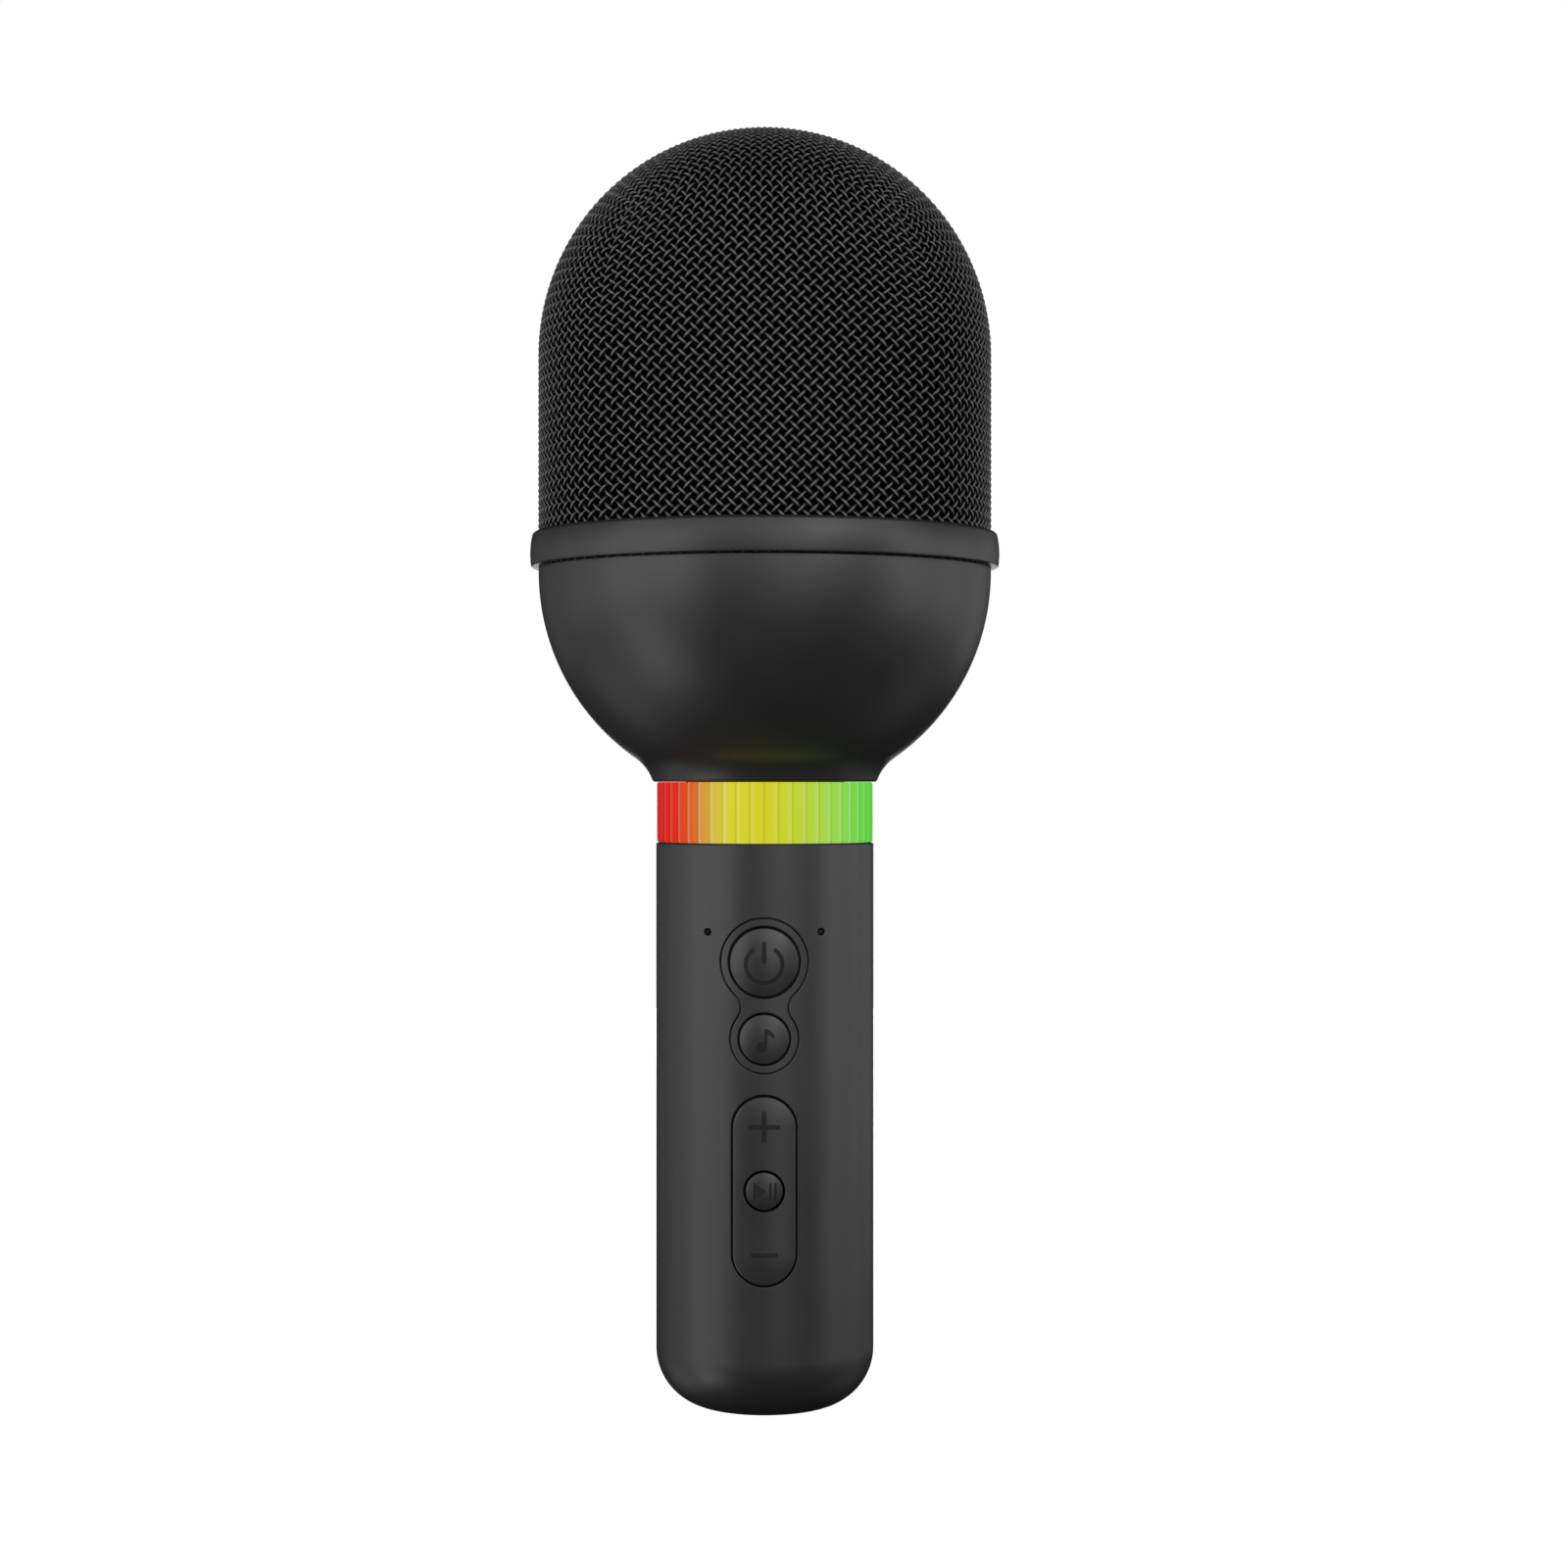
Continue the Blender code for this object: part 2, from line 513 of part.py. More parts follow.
def battery_cradle():
    inside = CRADLE_HALF_WIDTH - CRADLE_WALL
    outer_low = (-CRADLE_HALF_WIDTH, CRADLE_FRONT_Y, CRADLE_LOW_Z)
    outer_high = (CRADLE_HALF_WIDTH, CRADLE_BACK_Y, CRADLE_TOP_Z)
    cradle = box("battery_cradle", outer_low, outer_high, "black_plastic")
    hollow_low = (-inside, CRADLE_FRONT_Y + CRADLE_WALL, CRADLE_LOW_Z + CRADLE_WALL)
    hollow_high = (inside, CRADLE_BACK_Y + SPARE, CRADLE_TOP_Z - CRADLE_WALL)
    apply_cut(cradle, box("cut_cradle_hollow", hollow_low, hollow_high, None))
    for i, (x, z) in enumerate(board_screw_places(), 1):
        hole = bore(
            f"cut_cradle_hole_{i}", (x, z), CRADLE_HOLE_R, "Y",
            CRADLE_FRONT_Y - SPARE, CRADLE_HOLE_BACK_Y, 12,
        )
        apply_cut(cradle, hole)
    return cradle


def battery_cell():
    edge = circle((0, CELL_Y), CELL_R, 32)
    return prism("battery_cell", edge, "Z", CELL_LOW_Z, CELL_LOW_Z + CELL_LENGTH, "cell_wrap")


def usb_socket():
    """A metal shell with a contact tongue, open at the handle's base."""
    edge = rounded_bar(USB_HALF_WIDTH, USB_HALF_THICK)
    socket = prism("usb_socket", edge, "Z", USB_LOW_Z, USB_TOP_Z, "steel")
    mouth = rounded_bar(USB_HALF_WIDTH - USB_SKIN, USB_HALF_THICK - USB_SKIN)
    back_z = USB_TOP_Z - USB_BACK
    apply_cut(socket, prism("cut_usb_well", mouth, "Z", USB_LOW_Z - SPARE, back_z, None))
    low = (-TONGUE_HALF_WIDTH, -TONGUE_HALF_THICK, USB_LOW_Z + TONGUE_SET_BACK)
    high = (TONGUE_HALF_WIDTH, TONGUE_HALF_THICK, back_z + OVERLAP)
    return apply_cut(socket, box("cut_usb_tongue", low, high, None), "UNION")


def charge_board():
    front_y = USB_HALF_THICK + LAYER
    low = (-CHARGE_HALF_WIDTH, front_y, CHARGE_LOW_Z)
    high = (CHARGE_HALF_WIDTH, front_y + CHARGE_THICK, CHARGE_TOP_Z)
    return box("charge_board", low, high, "board_green")


# ---------------------------------------------------------------- neck


def neck_sleeve():
    """Ties the handle to the bowl: a plug in the handle, then a tube through the ring."""
    step_r, step_z = RING_BORE_R - GAP, RING_LOW_Z + SLEEVE_STEP
    outline = [
        (SLEEVE_BORE_R, SLEEVE_LOW_Z),
        (SLEEVE_PLUG_R, SLEEVE_LOW_Z),
        (SLEEVE_PLUG_R, HANDLE_TOP_Z - LAYER),
        (step_r, HANDLE_TOP_Z - LAYER),
        (step_r, step_z),
        (SLEEVE_TUBE_R, step_z),
        (SLEEVE_TUBE_R, SLEEVE_TOP_Z),
        (SLEEVE_BORE_R, SLEEVE_TOP_Z),
    ]
    return turned("neck_sleeve", outline, "black_plastic")


def neck_nut():
    """A round nut with grip notches, on the bowl's floor."""
    bore_r = SLEEVE_TUBE_R + GAP
    outline = [
        (bore_r, NUT_LOW_Z), (NUT_R, NUT_LOW_Z), (NUT_R, NUT_TOP_Z), (bore_r, NUT_TOP_Z),
    ]
    bm = turned_mesh(outline, NUT_STEPS)
    pull_in(bm, NUT_STEPS, NUT_STEPS // NUT_NOTCHES, NUT_R, NUT_NOTCH_SCALE)
    return make_object("neck_nut", bm, "steel")


def pull_in(bm, steps, every, outer_r, scale):
    """Move one in every few columns of a turned mesh's outer points towards the axis."""
    middle_r = (1 + scale) * outer_r / 2
    for vert in bm.verts:
        column = round(math.atan2(vert.co.y, vert.co.x) / math.tau * steps)
        if vert.co.xy.length > middle_r and column % every == 0:
            vert.co.x *= scale
            vert.co.y *= scale


def led_strip():
    """A flexible band round the sleeve with its light packages standing out."""
    inner_r = SLEEVE_TUBE_R + GAP
    low_z, top_z = RING_LOW_Z + LED_BAND_INSET, RING_TOP_Z - LED_BAND_INSET
    chip_low_z, chip_top_z = low_z + LED_INSET, top_z - LED_INSET
    outline = [
        (inner_r, low_z), (LED_BAND_R, low_z), (LED_BAND_R, chip_low_z),
        (LED_BAND_R, chip_top_z), (LED_BAND_R, top_z), (inner_r, top_z),
    ]
    steps = 4 * LED_COUNT
    bm = turned_mesh(outline, steps)
    bmesh.ops.recalc_face_normals(bm, faces=bm.faces)
    chips = []
    for face in bm.faces:
        middle = face.calc_center_median()
        across = math.atan2(middle.y, middle.x) / math.tau * steps
        outside = middle.xy.length > (inner_r + LED_BAND_R) / 2
        upright = chip_low_z < middle.z < chip_top_z
        if outside and upright and round(across - 0.5) % 4 == 0:
            chips.append(face)
    grown = bmesh.ops.extrude_discrete_faces(bm, faces=chips)
    for face in grown["faces"]:
        bmesh.ops.translate(bm, vec=face.normal * LED_PROUD, verts=face.verts)
    return make_object("led_strip", bm, "white_plastic")


def light_ring():
    """The translucent ring: its outside is fluted, its bore is plain."""
    outline = [
        (RING_BORE_R, RING_LOW_Z), (RING_R, RING_LOW_Z),
        (RING_R, RING_TOP_Z), (RING_BORE_R, RING_TOP_Z),
    ]
    steps = 2 * RING_FLUTES
    bm = turned_mesh(outline, steps)
    pull_in(bm, steps, 2, RING_R, 1 - RING_FLUTE_DEPTH / RING_R)
    return make_object("light_ring", bm, "ring_plastic")


# ---------------------------------------------------------------- head


def bowl_outside():
    """From the lip up: a concave neck fillet, then the ball to its shoulder."""
    lip_z = BOWL_LIP_Z + BOWL_LIP_BEVEL
    reach = BOWL_R + NECK_FILLET
    drop = BOWL_CENTRE_Z - lip_z
    away = math.hypot(BOWL_LIP_R, drop)
    spread = math.acos((away**2 + reach**2 - NECK_FILLET**2) / (2 * away * reach))
    blend = math.atan2(drop, BOWL_LIP_R) - spread
    centre = (reach * math.cos(blend), BOWL_CENTRE_Z - reach * math.sin(blend))
    lip_deg = math.degrees(math.atan2(lip_z - centre[1], BOWL_LIP_R - centre[0]))
    blend_deg = math.degrees(blend)
    neck = arc(centre, NECK_FILLET, lip_deg, 180 - blend_deg, 3)
    shoulder_deg = math.degrees(math.asin((BOWL_SHOULDER_Z - BOWL_CENTRE_Z) / BOWL_R))
    ball = arc((0, BOWL_CENTRE_Z), BOWL_R, -blend_deg, shoulder_deg, 7)
    return neck + ball[1:]


def head_bowl():
    inner_r = BOWL_R - BOWL_WALL
    gusset_z = LEDGE_Z - LEDGE_GUSSET
    floor_edge_z = BOWL_FLOOR_TOP_Z + BOWL_WALL
    start_deg, end_deg = (
        math.degrees(math.asin((z - BOWL_CENTRE_Z) / inner_r)) for z in (gusset_z, floor_edge_z)
    )
    hollow = arc((0, BOWL_CENTRE_Z), inner_r, start_deg, end_deg, 4)
    outline = (
        [(BOWL_HOLE_R, BOWL_LIP_Z), (BOWL_LIP_R - BOWL_LIP_BEVEL, BOWL_LIP_Z)]
        + bowl_outside()
        + [(BOWL_SEAT_R, BOWL_SHOULDER_Z), (BOWL_SEAT_R, BOWL_SEAT_Z), (SPIGOT_R, BOWL_SEAT_Z)]
        + [(SPIGOT_R, SPIGOT_TOP_Z), (SPIGOT_BORE_R, SPIGOT_TOP_Z)]
        + [(SPIGOT_BORE_R, LEDGE_Z), (LEDGE_R, LEDGE_Z), (LEDGE_R, LEDGE_Z - LEDGE_THICK)]
        + hollow
        + [(hollow[-1][0] - BOWL_WALL, BOWL_FLOOR_TOP_Z), (BOWL_HOLE_R, BOWL_FLOOR_TOP_Z)]
    )
    return turned("head_bowl", outline, "satin_black_plastic", 48)


def collar_round(height, size):
    """Where a small round of this size meets the collar's barrel: its centre and its angle."""
    reach = COLLAR_BARREL_R - size
    turn = math.asin((height - COLLAR_BARREL_Z) / reach)
    centre_r = COLLAR_R - COLLAR_BARREL_R + reach * math.cos(turn)
    return (centre_r, height), math.degrees(turn)


def grille_collar():
    """A barrel-shaped band with a lip at its foot that the wire stands on."""
    low_centre, low_deg = collar_round(COLLAR_LOW_Z + COLLAR_LOW_ROUND, COLLAR_LOW_ROUND)
    top_centre, top_deg = collar_round(COLLAR_TOP_Z - COLLAR_TOP_ROUND, COLLAR_TOP_ROUND)
    barrel_centre = (COLLAR_R - COLLAR_BARREL_R, COLLAR_BARREL_Z)
    lip_r, lip_top_z = COLLAR_BORE_R - COLLAR_LIP, COLLAR_LOW_Z + COLLAR_LIP_THICK
    outline = (
        [(lip_r, COLLAR_LOW_Z)]
        + arc(low_centre, COLLAR_LOW_ROUND, -90, low_deg, 2)
        + arc(barrel_centre, COLLAR_BARREL_R, low_deg, top_deg, 4)[1:-1]
        + arc(top_centre, COLLAR_TOP_ROUND, top_deg, 90, 3)
        + [(COLLAR_BORE_R, COLLAR_TOP_Z), (COLLAR_BORE_R, lip_top_z), (lip_r, lip_top_z)]
    )
    return turned("grille_collar", outline, "satin_black_plastic", 48)


def domed_shell(name, outer_r, thickness, low_z, finish, steps, dome_steps):
    """A cylinder closed by a dome, of even thickness and open below."""
    inner_r = outer_r - thickness
    outline = (
        [(0, GRILLE_DOME_Z + inner_r)]
        + arc((0, GRILLE_DOME_Z), inner_r, 90, 0, dome_steps)[1:]
        + [(inner_r, low_z), (outer_r, low_z)]
        + arc((0, GRILLE_DOME_Z), outer_r, 0, 90, dome_steps)[:-1]
        + [(0, GRILLE_DOME_Z + outer_r)]
    )
    return turned(name, outline, finish, steps)


def grille():
    """The collar, the hoop that clamps the wire in it, the wire, the foam and the gasket."""
    collar = grille_collar()
    hoop = ring(
        "grille_hoop", HOOP_BORE_R, HOOP_R, HOOP_LOW_Z, HOOP_TOP_Z, "black_plastic", 48
    )
    wire = domed_shell(
        "grille_mesh", GRILLE_R, GRILLE_SKIN, GRILLE_LOW_Z, "black_wire", 48, 7
    )
    foam = domed_shell(
        "foam_windscreen", FOAM_R, FOAM_THICK, FOAM_LOW_Z, "black_foam", 24, 4
    )
    gasket = ring(
        "grille_gasket", SPIGOT_R + GAP, BOWL_SEAT_R - GAP, BOWL_SEAT_Z + LAYER,
        COLLAR_LOW_Z - LAYER, "black_rubber", 48,
    )
    moving("grille_axis", (0, 0, COLLAR_LOW_Z), [collar, hoop, wire, foam, gasket])


# ---------------------------------------------------------------- speaker


def speaker_baffle():
    """The ring that carries the speaker on the bowl's ledge."""
    baffle = ring(
        "speaker_baffle", BAFFLE_BORE_R, BAFFLE_R, BAFFLE_LOW_Z, BAFFLE_TOP_Z,
        "black_plastic",
    )
    for i, place in enumerate(speaker_screw_places(), 1):
        apply_cut(baffle, baffle_bore(f"cut_baffle_hole_{i}", place, SCREW_HOLE_R))
    return apply_cut(baffle, baffle_bore("cut_pass", CAPSULE_LEAD_PASS, CAPSULE_LEAD_PASS_R))


def baffle_bore(name, place, radius):
    """A cutter that goes through the baffle and the speaker's flange on it."""
    return bore(name, place, radius, "Z", BAFFLE_LOW_Z - SPARE, FLANGE_TOP_Z + SPARE, 10)


def speaker_screw_places():
    return circle_places(SCREW_CIRCLE_R, 4, 45)


def circle_places(radius, count, start_deg):
    """Evenly spaced points on a circle about the axis."""
    turns = [math.radians(start_deg + 360 * i / count) for i in range(count)]
    return [(radius * math.cos(t), radius * math.sin(t)) for t in turns]


def speaker_frame():
    """The basket: a base ring on the top plate, a cone wall and a screw flange."""
    low_z = TOP_PLATE_TOP_Z + LAYER
    flange_z = BAFFLE_TOP_Z + LAYER
    seat_z, seat_r = flange_z - BASKET_STEP, SURROUND_R + BASKET_STEP
    base_top_z = low_z + FLANGE_TOP_Z - flange_z
    outline = [
        (BASKET_BORE_R, low_z), (BASKET_FOOT_R, low_z), (seat_r + 1, flange_z),
        (FLANGE_R, flange_z), (FLANGE_R, FLANGE_TOP_Z), (seat_r, FLANGE_TOP_Z),
        (seat_r, seat_z), (SURROUND_R - 1, seat_z), (BASKET_FOOT_R - 1, base_top_z),
        (BASKET_BORE_R, base_top_z),
    ]
    frame = turned("speaker_frame", outline, "steel")
    for i, place in enumerate(speaker_screw_places(), 1):
        apply_cut(frame, baffle_bore(f"cut_flange_hole_{i}", place, SCREW_HOLE_R))
        speaker_screw(f"speaker_screw_{i}", place)
    wide, narrow = WINDOW_REACH, WINDOW_HALF
    for name, x, y in (("x", wide, narrow), ("y", narrow, wide)):
        low, high = (-x, -y, WINDOW_LOW_Z), (x, y, WINDOW_TOP_Z)
        apply_cut(frame, box(f"cut_basket_windows_{name}", low, high, None))
    return frame


def speaker_screw(name, place):
    head_z = FLANGE_TOP_Z + LAYER
    head_edge = circle(place, SCREW_HEAD_R, 10)
    screw = prism(name, head_edge, "Z", head_z, head_z + SCREW_HEAD_THICK, "steel")
    low_z, top_z = BAFFLE_LOW_Z + OVERLAP, head_z + SCREW_HEAD_THICK / 2
    shank = bore(f"cut_{name}_shank", place, BAFFLE_SHANK_R, "Z", low_z, top_z, 10)
    return apply_cut(screw, shank, "UNION")


def speaker_motor():
    """Yoke with its pole piece, ring magnet and top plate."""
    yoke = [
        (0, YOKE_LOW_Z), (YOKE_R, YOKE_LOW_Z), (YOKE_R, YOKE_TOP_Z),
        (POLE_R, YOKE_TOP_Z), (POLE_R, POLE_TOP_Z), (0, POLE_TOP_Z),
    ]
    turned("speaker_yoke", yoke, "steel")
    magnet_z = YOKE_TOP_Z + LAYER
    ring("speaker_magnet", MAGNET_BORE_R, MAGNET_R, magnet_z, MAGNET_TOP_Z, "ferrite")
    plate_z = MAGNET_TOP_Z + LAYER
    ring(
        "speaker_top_plate", TOP_PLATE_BORE_R, TOP_PLATE_R, plate_z, TOP_PLATE_TOP_Z, "steel"
    )


def speaker_cone():
    """The moving parts, voice coil, cone and dust cap, and the two that flex with them."""
    coil = ring("voice_coil", COIL_BORE_R, COIL_R, COIL_LOW_Z, COIL_TOP_Z, "copper")
    neck_top_z, rim_top_z = CONE_NECK_Z + CONE_PAPER, CONE_RIM_Z + CONE_PAPER
    outline = [
        (CONE_NECK_R, CONE_NECK_Z), (CONE_RIM_R, CONE_RIM_Z),
        (CONE_RIM_R, rim_top_z), (CONE_NECK_R, neck_top_z),
    ]
    cone = turned("speaker_cone", outline, "paper_cone")
    inner = half_ellipse(0, CAP_R - CAP_SKIN, CAP_Z, CAP_RISE - CAP_SKIN, 90, 0, 3)
    outer = half_ellipse(0, CAP_R, CAP_Z, CAP_RISE, 0, 90, 3)
    cap = turned("dust_cap", inner + outer, "paper_cone", 16)
    moving("speaker_axis", (0, 0, CONE_NECK_Z), [coil, cone, cap])
    ring(
        "speaker_spider", COIL_R + GAP, SPIDER_R, SPIDER_Z, SPIDER_Z + SPIDER_THICK, "paper_cone"
    )
    turned("speaker_surround", surround_outline(), "black_rubber")


def half_ellipse(middle_r, half, z, rise, start_deg, end_deg, steps):
    """Points along an upright ellipse's arc, its two ends held exactly on the axis."""
    points = [
        (middle_r + half * x, z + rise * y) for x, y in arc((0, 0), 1, start_deg, end_deg, steps)
    ]
    return [(0 if abs(r) < LAYER / 2 else r, height) for r, height in points]


def surround_outline():
    """A half-roll of rubber with a flat lip at its outer edge."""
    inner_r, z, skin = CONE_RIM_R + GAP, CONE_RIM_Z, SURROUND_SKIN
    lip_r = SURROUND_R - SURROUND_LIP
    middle, half = (inner_r + lip_r) / 2, (lip_r - inner_r) / 2
    over = half_ellipse(middle, half, z + skin, SURROUND_RISE, 0, 180, 4)
    under = half_ellipse(middle, half - skin, z, SURROUND_RISE, 180, 0, 4)
    return (
        [(SURROUND_R, z), (SURROUND_R, z + skin)] + over + [(inner_r, z)]
        + under[:-1] + [(lip_r - skin, z)]
    )


# ---------------------------------------------------------------- capsule and leads


def bridge_arch(span_r, rise, steps):
    """Half an ellipse that stands on the baffle, from one foot to the other."""
    foot_z = BAFFLE_TOP_Z + LAYER
    return [
        (span_r * math.cos(math.pi * i / steps), foot_z + rise * math.sin(math.pi * i / steps))
        for i in range(steps + 1)
    ]


def capsule_bridge():
    outer = bridge_arch(BRIDGE_SPAN_R, BRIDGE_RISE, 16)
    inner = bridge_arch(BRIDGE_SPAN_R - BRIDGE_THICK, BRIDGE_RISE - BRIDGE_THICK, 16)
    return prism(
        "capsule_bridge", outer + inner[::-1], "Y", -BRIDGE_HALF_WIDTH, BRIDGE_HALF_WIDTH,
        "black_plastic",
    )


def capsule():
    """The rubber cup on the bridge's crown, and the microphone capsule in it."""
    low_z = BAFFLE_TOP_Z + BRIDGE_RISE + 2 * LAYER
    bore_r = CAPSULE_R + GAP
    cup_floor_z = CAPSULE_LOW_Z - LAYER
    cup = [
        (0, low_z), (BOOT_R, low_z), (BOOT_R, BOOT_TOP_Z), (bore_r, BOOT_TOP_Z),
        (bore_r, cup_floor_z), (0, cup_floor_z),
    ]
    turned("capsule_boot", cup, "black_rubber")
    edge = circle((0, 0), CAPSULE_R, 24)
    prism("mic_capsule", edge, "Z", CAPSULE_LOW_Z, CAPSULE_TOP_Z, "steel")


def leads():
    """Three leads that the casings hold all the way."""
    board_top_z = BOARD_TOP_Z + 1.0
    under_yoke_z = (SLEEVE_TOP_Z + YOKE_LOW_Z) / 2
    lead(
        "speaker_lead",
        [(4.5, -10.2, board_top_z), (4.5, -10.0, 100), (6, -7.5, 110), (8.5, -4, 118.5),
         (12.5, -1.5, under_yoke_z - 0.2), (17.5, -0.5, under_yoke_z), (21.2, 0, 125),
         (22.0, 0, 131), (22.0, 0, 137.6)],
        "black_plastic",
    )
    pass_x, pass_y = CAPSULE_LEAD_PASS
    beside_arch = [
        ((BRIDGE_SPAN_R - 1) * math.cos(math.radians(turn)),
         -BRIDGE_HALF_WIDTH - 1.2,
         BAFFLE_TOP_Z + (BRIDGE_RISE - 1) * math.sin(math.radians(turn)))
        for turn in (162, 143, 124, 108)
    ]
    lead(
        "capsule_lead",
        [(-4.5, -10.2, board_top_z), (-4.5, -10.0, 100), (-6, -7.5, 110), (-8.5, -5, 118.5),
         (-12.5, -3.5, under_yoke_z - 0.2), (-18, -3, under_yoke_z + 0.2), (-24, -3.5, 125),
         (-29, -5, 133), (-33, -6.2, 141), (pass_x, pass_y, 146.5), (pass_x, pass_y, 150.5)]
        + beside_arch
        + [(-10.6, -2.5, 188.0)],
        "black_plastic",
    )
    board_y = USB_HALF_THICK + LAYER - GAP - LEAD_R
    main_y = BOARD_BACK_Y + GAP + LEAD_R
    lead(
        "charge_lead",
        [(-6, board_y, 17.5), (-6, board_y - 1.5, 19.5), (-6, main_y + 2.5, 19),
         (-6, main_y, 16)],
        "black_plastic",
    )


# ---------------------------------------------------------------- assembly


def handle_assembly():
    handle_shell()
    key_bezel()
    status_pipes()
    main_board()
    battery_cradle()
    battery_cell()
    usb_socket()
    charge_board()


def keys():
    """Each key stands on its own axis with the switch plunger that it pushes."""
    for name, z, radius, flange_r, flange_y, steps in (
        ("power", POWER_Z, POWER_KEY_R, POWER_FLANGE_R, KEY_FLANGE_Y, POWER_STEPS),
        ("mode", MODE_Z, MODE_KEY_R, MODE_FLANGE_R, KEY_FLANGE_Y, MODE_STEPS),
        ("play", ROCKER_Z, PLAY_KEY_R, PLAY_FLANGE_R, ROCKER_FLANGE_Y, PLAY_STEPS),
    ):
        key = round_key(f"{name}_key", z, radius, flange_r, flange_y, steps)
        moving(f"{name}_axis", (0, flange_y, z), [key, tact_switch(name, z)])
    moving("rocker_axis", (0, ROCKER_PIVOT_Y, ROCKER_Z), [volume_rocker()])
    for name, side in (("plus", 1), ("minus", -1)):
        z = ROCKER_Z + side * PRESS_POINT
        moving(f"{name}_axis", (0, PLUNGER_BACK_Y, z), [tact_switch(name, z)])


def main():
    clear_scene()
    make_materials()
    handle_assembly()
    keys()
    neck_sleeve()
    neck_nut()
    led_strip()
    light_ring()
    head_bowl()
    grille()
    speaker_baffle()
    speaker_frame()
    speaker_motor()
    speaker_cone()
    capsule_bridge()
    capsule()
    leads()


main()
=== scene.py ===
"""Looks of the karaoke microphone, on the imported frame.

The microphone stands along Z, its keys face -Y, and angles round it start at the
front and go towards +X. Its sizes are in millimetres until mesh_piece turns them
into metres; the camera, the lights and the floor are in metres.
"""

import math

import bmesh
import bpy
import numpy as np
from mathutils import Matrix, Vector
from mathutils.geometry import delaunay_2d_cdt


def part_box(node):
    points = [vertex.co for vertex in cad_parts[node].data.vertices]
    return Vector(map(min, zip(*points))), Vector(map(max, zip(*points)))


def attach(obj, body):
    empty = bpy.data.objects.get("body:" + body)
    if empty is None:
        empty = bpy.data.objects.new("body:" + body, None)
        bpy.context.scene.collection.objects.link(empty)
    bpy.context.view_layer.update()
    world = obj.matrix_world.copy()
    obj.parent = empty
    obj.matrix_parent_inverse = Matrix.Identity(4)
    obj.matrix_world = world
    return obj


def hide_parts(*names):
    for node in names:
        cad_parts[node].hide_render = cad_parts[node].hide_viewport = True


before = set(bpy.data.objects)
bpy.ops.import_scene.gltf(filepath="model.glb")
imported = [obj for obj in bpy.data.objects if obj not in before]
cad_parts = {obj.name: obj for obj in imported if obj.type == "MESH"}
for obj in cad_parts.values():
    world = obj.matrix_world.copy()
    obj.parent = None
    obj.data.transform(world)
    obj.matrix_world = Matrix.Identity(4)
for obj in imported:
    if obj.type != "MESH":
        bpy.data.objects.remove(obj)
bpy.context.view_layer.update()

MM = 0.001


def cad_size(node):
    """A CAD node's lowest and highest corners, in millimetres."""
    low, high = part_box(node)
    return [c / MM for c in low], [c / MM for c in high]


# ---- sizes

HANDLE_HIGH = cad_size("handle_shell")[1]
HANDLE_R = HANDLE_HIGH[0]
HANDLE_TOP_Z = HANDLE_HIGH[2]
HANDLE_WALL = 2.0
TOP_BEVEL = 0.25
BASE_ROUND = 10.8
FLOOR_THICK = 3.0
COLUMNS = 256  # round the handle, the bowl and the collar

POWER_Z, POWER_HOLE_R, POWER_KEY_R = 82.5, 6.5, 6.1
MODE_Z, MODE_HOLE_R, MODE_KEY_R = 68.8, 4.75, 4.43
BEZEL_UPPER_R, BEZEL_LOWER_R, BEZEL_WAIST = 7.9, 6.2, 3.2
BEZEL_THICK, BEZEL_GAP = 0.8, 0.2
ROCKER_Z, ROCKER_HALF_WIDTH, ROCKER_HALF_HEIGHT, ROCKER_GAP = 41.8, 5.875, 17.1, 0.3
PLAY_HOLE_R, PLAY_KEY_R = 3.73, 3.36
STATUS_X, STATUS_Z, STATUS_HOLE_R = 10.1, 87.8, 0.62
USB_HALF_WIDTH, USB_HALF_THICK = 4.77, 1.93

RING_LOW, RING_HIGH = cad_size("light_ring")
COLLAR_LOW, COLLAR_HIGH = cad_size("grille_collar")
BOWL_LOW, BOWL_HIGH = cad_size("head_bowl")
MESH_R = cad_size("grille_mesh")[1][0]

BOWL_R, BOWL_CENTRE_Z, NECK_FILLET = 41.55, 153.0, 8.6
BOWL_LIP_R, BOWL_LIP_BEVEL = 20.7, 0.3
BOWL_SHOULDER_Z, BOWL_SEAT_R, BOWL_SEAT_Z, BOWL_WALL = 153.75, 41.2, 153.35, 2.0
SPIGOT_R, SPIGOT_BORE_R = 39.0, 37.2
COLLAR_BORE_R, COLLAR_LIP, COLLAR_LIP_THICK = 41.9, 0.9, 0.6
COLLAR_BARREL_R, COLLAR_BARREL_Z = 16.0, 156.3
COLLAR_TOP_ROUND, COLLAR_LOW_ROUND = 0.8, 0.25

WIRE_R = 0.235
CRIMP = 0.235  # how far a wire swings out and in as it crosses the others
WEAVE_R = MESH_R - WIRE_R - CRIMP  # the middle of the weave
GRILLE_EQUATOR_Z = 192.7


# ---- camera, lights and floor

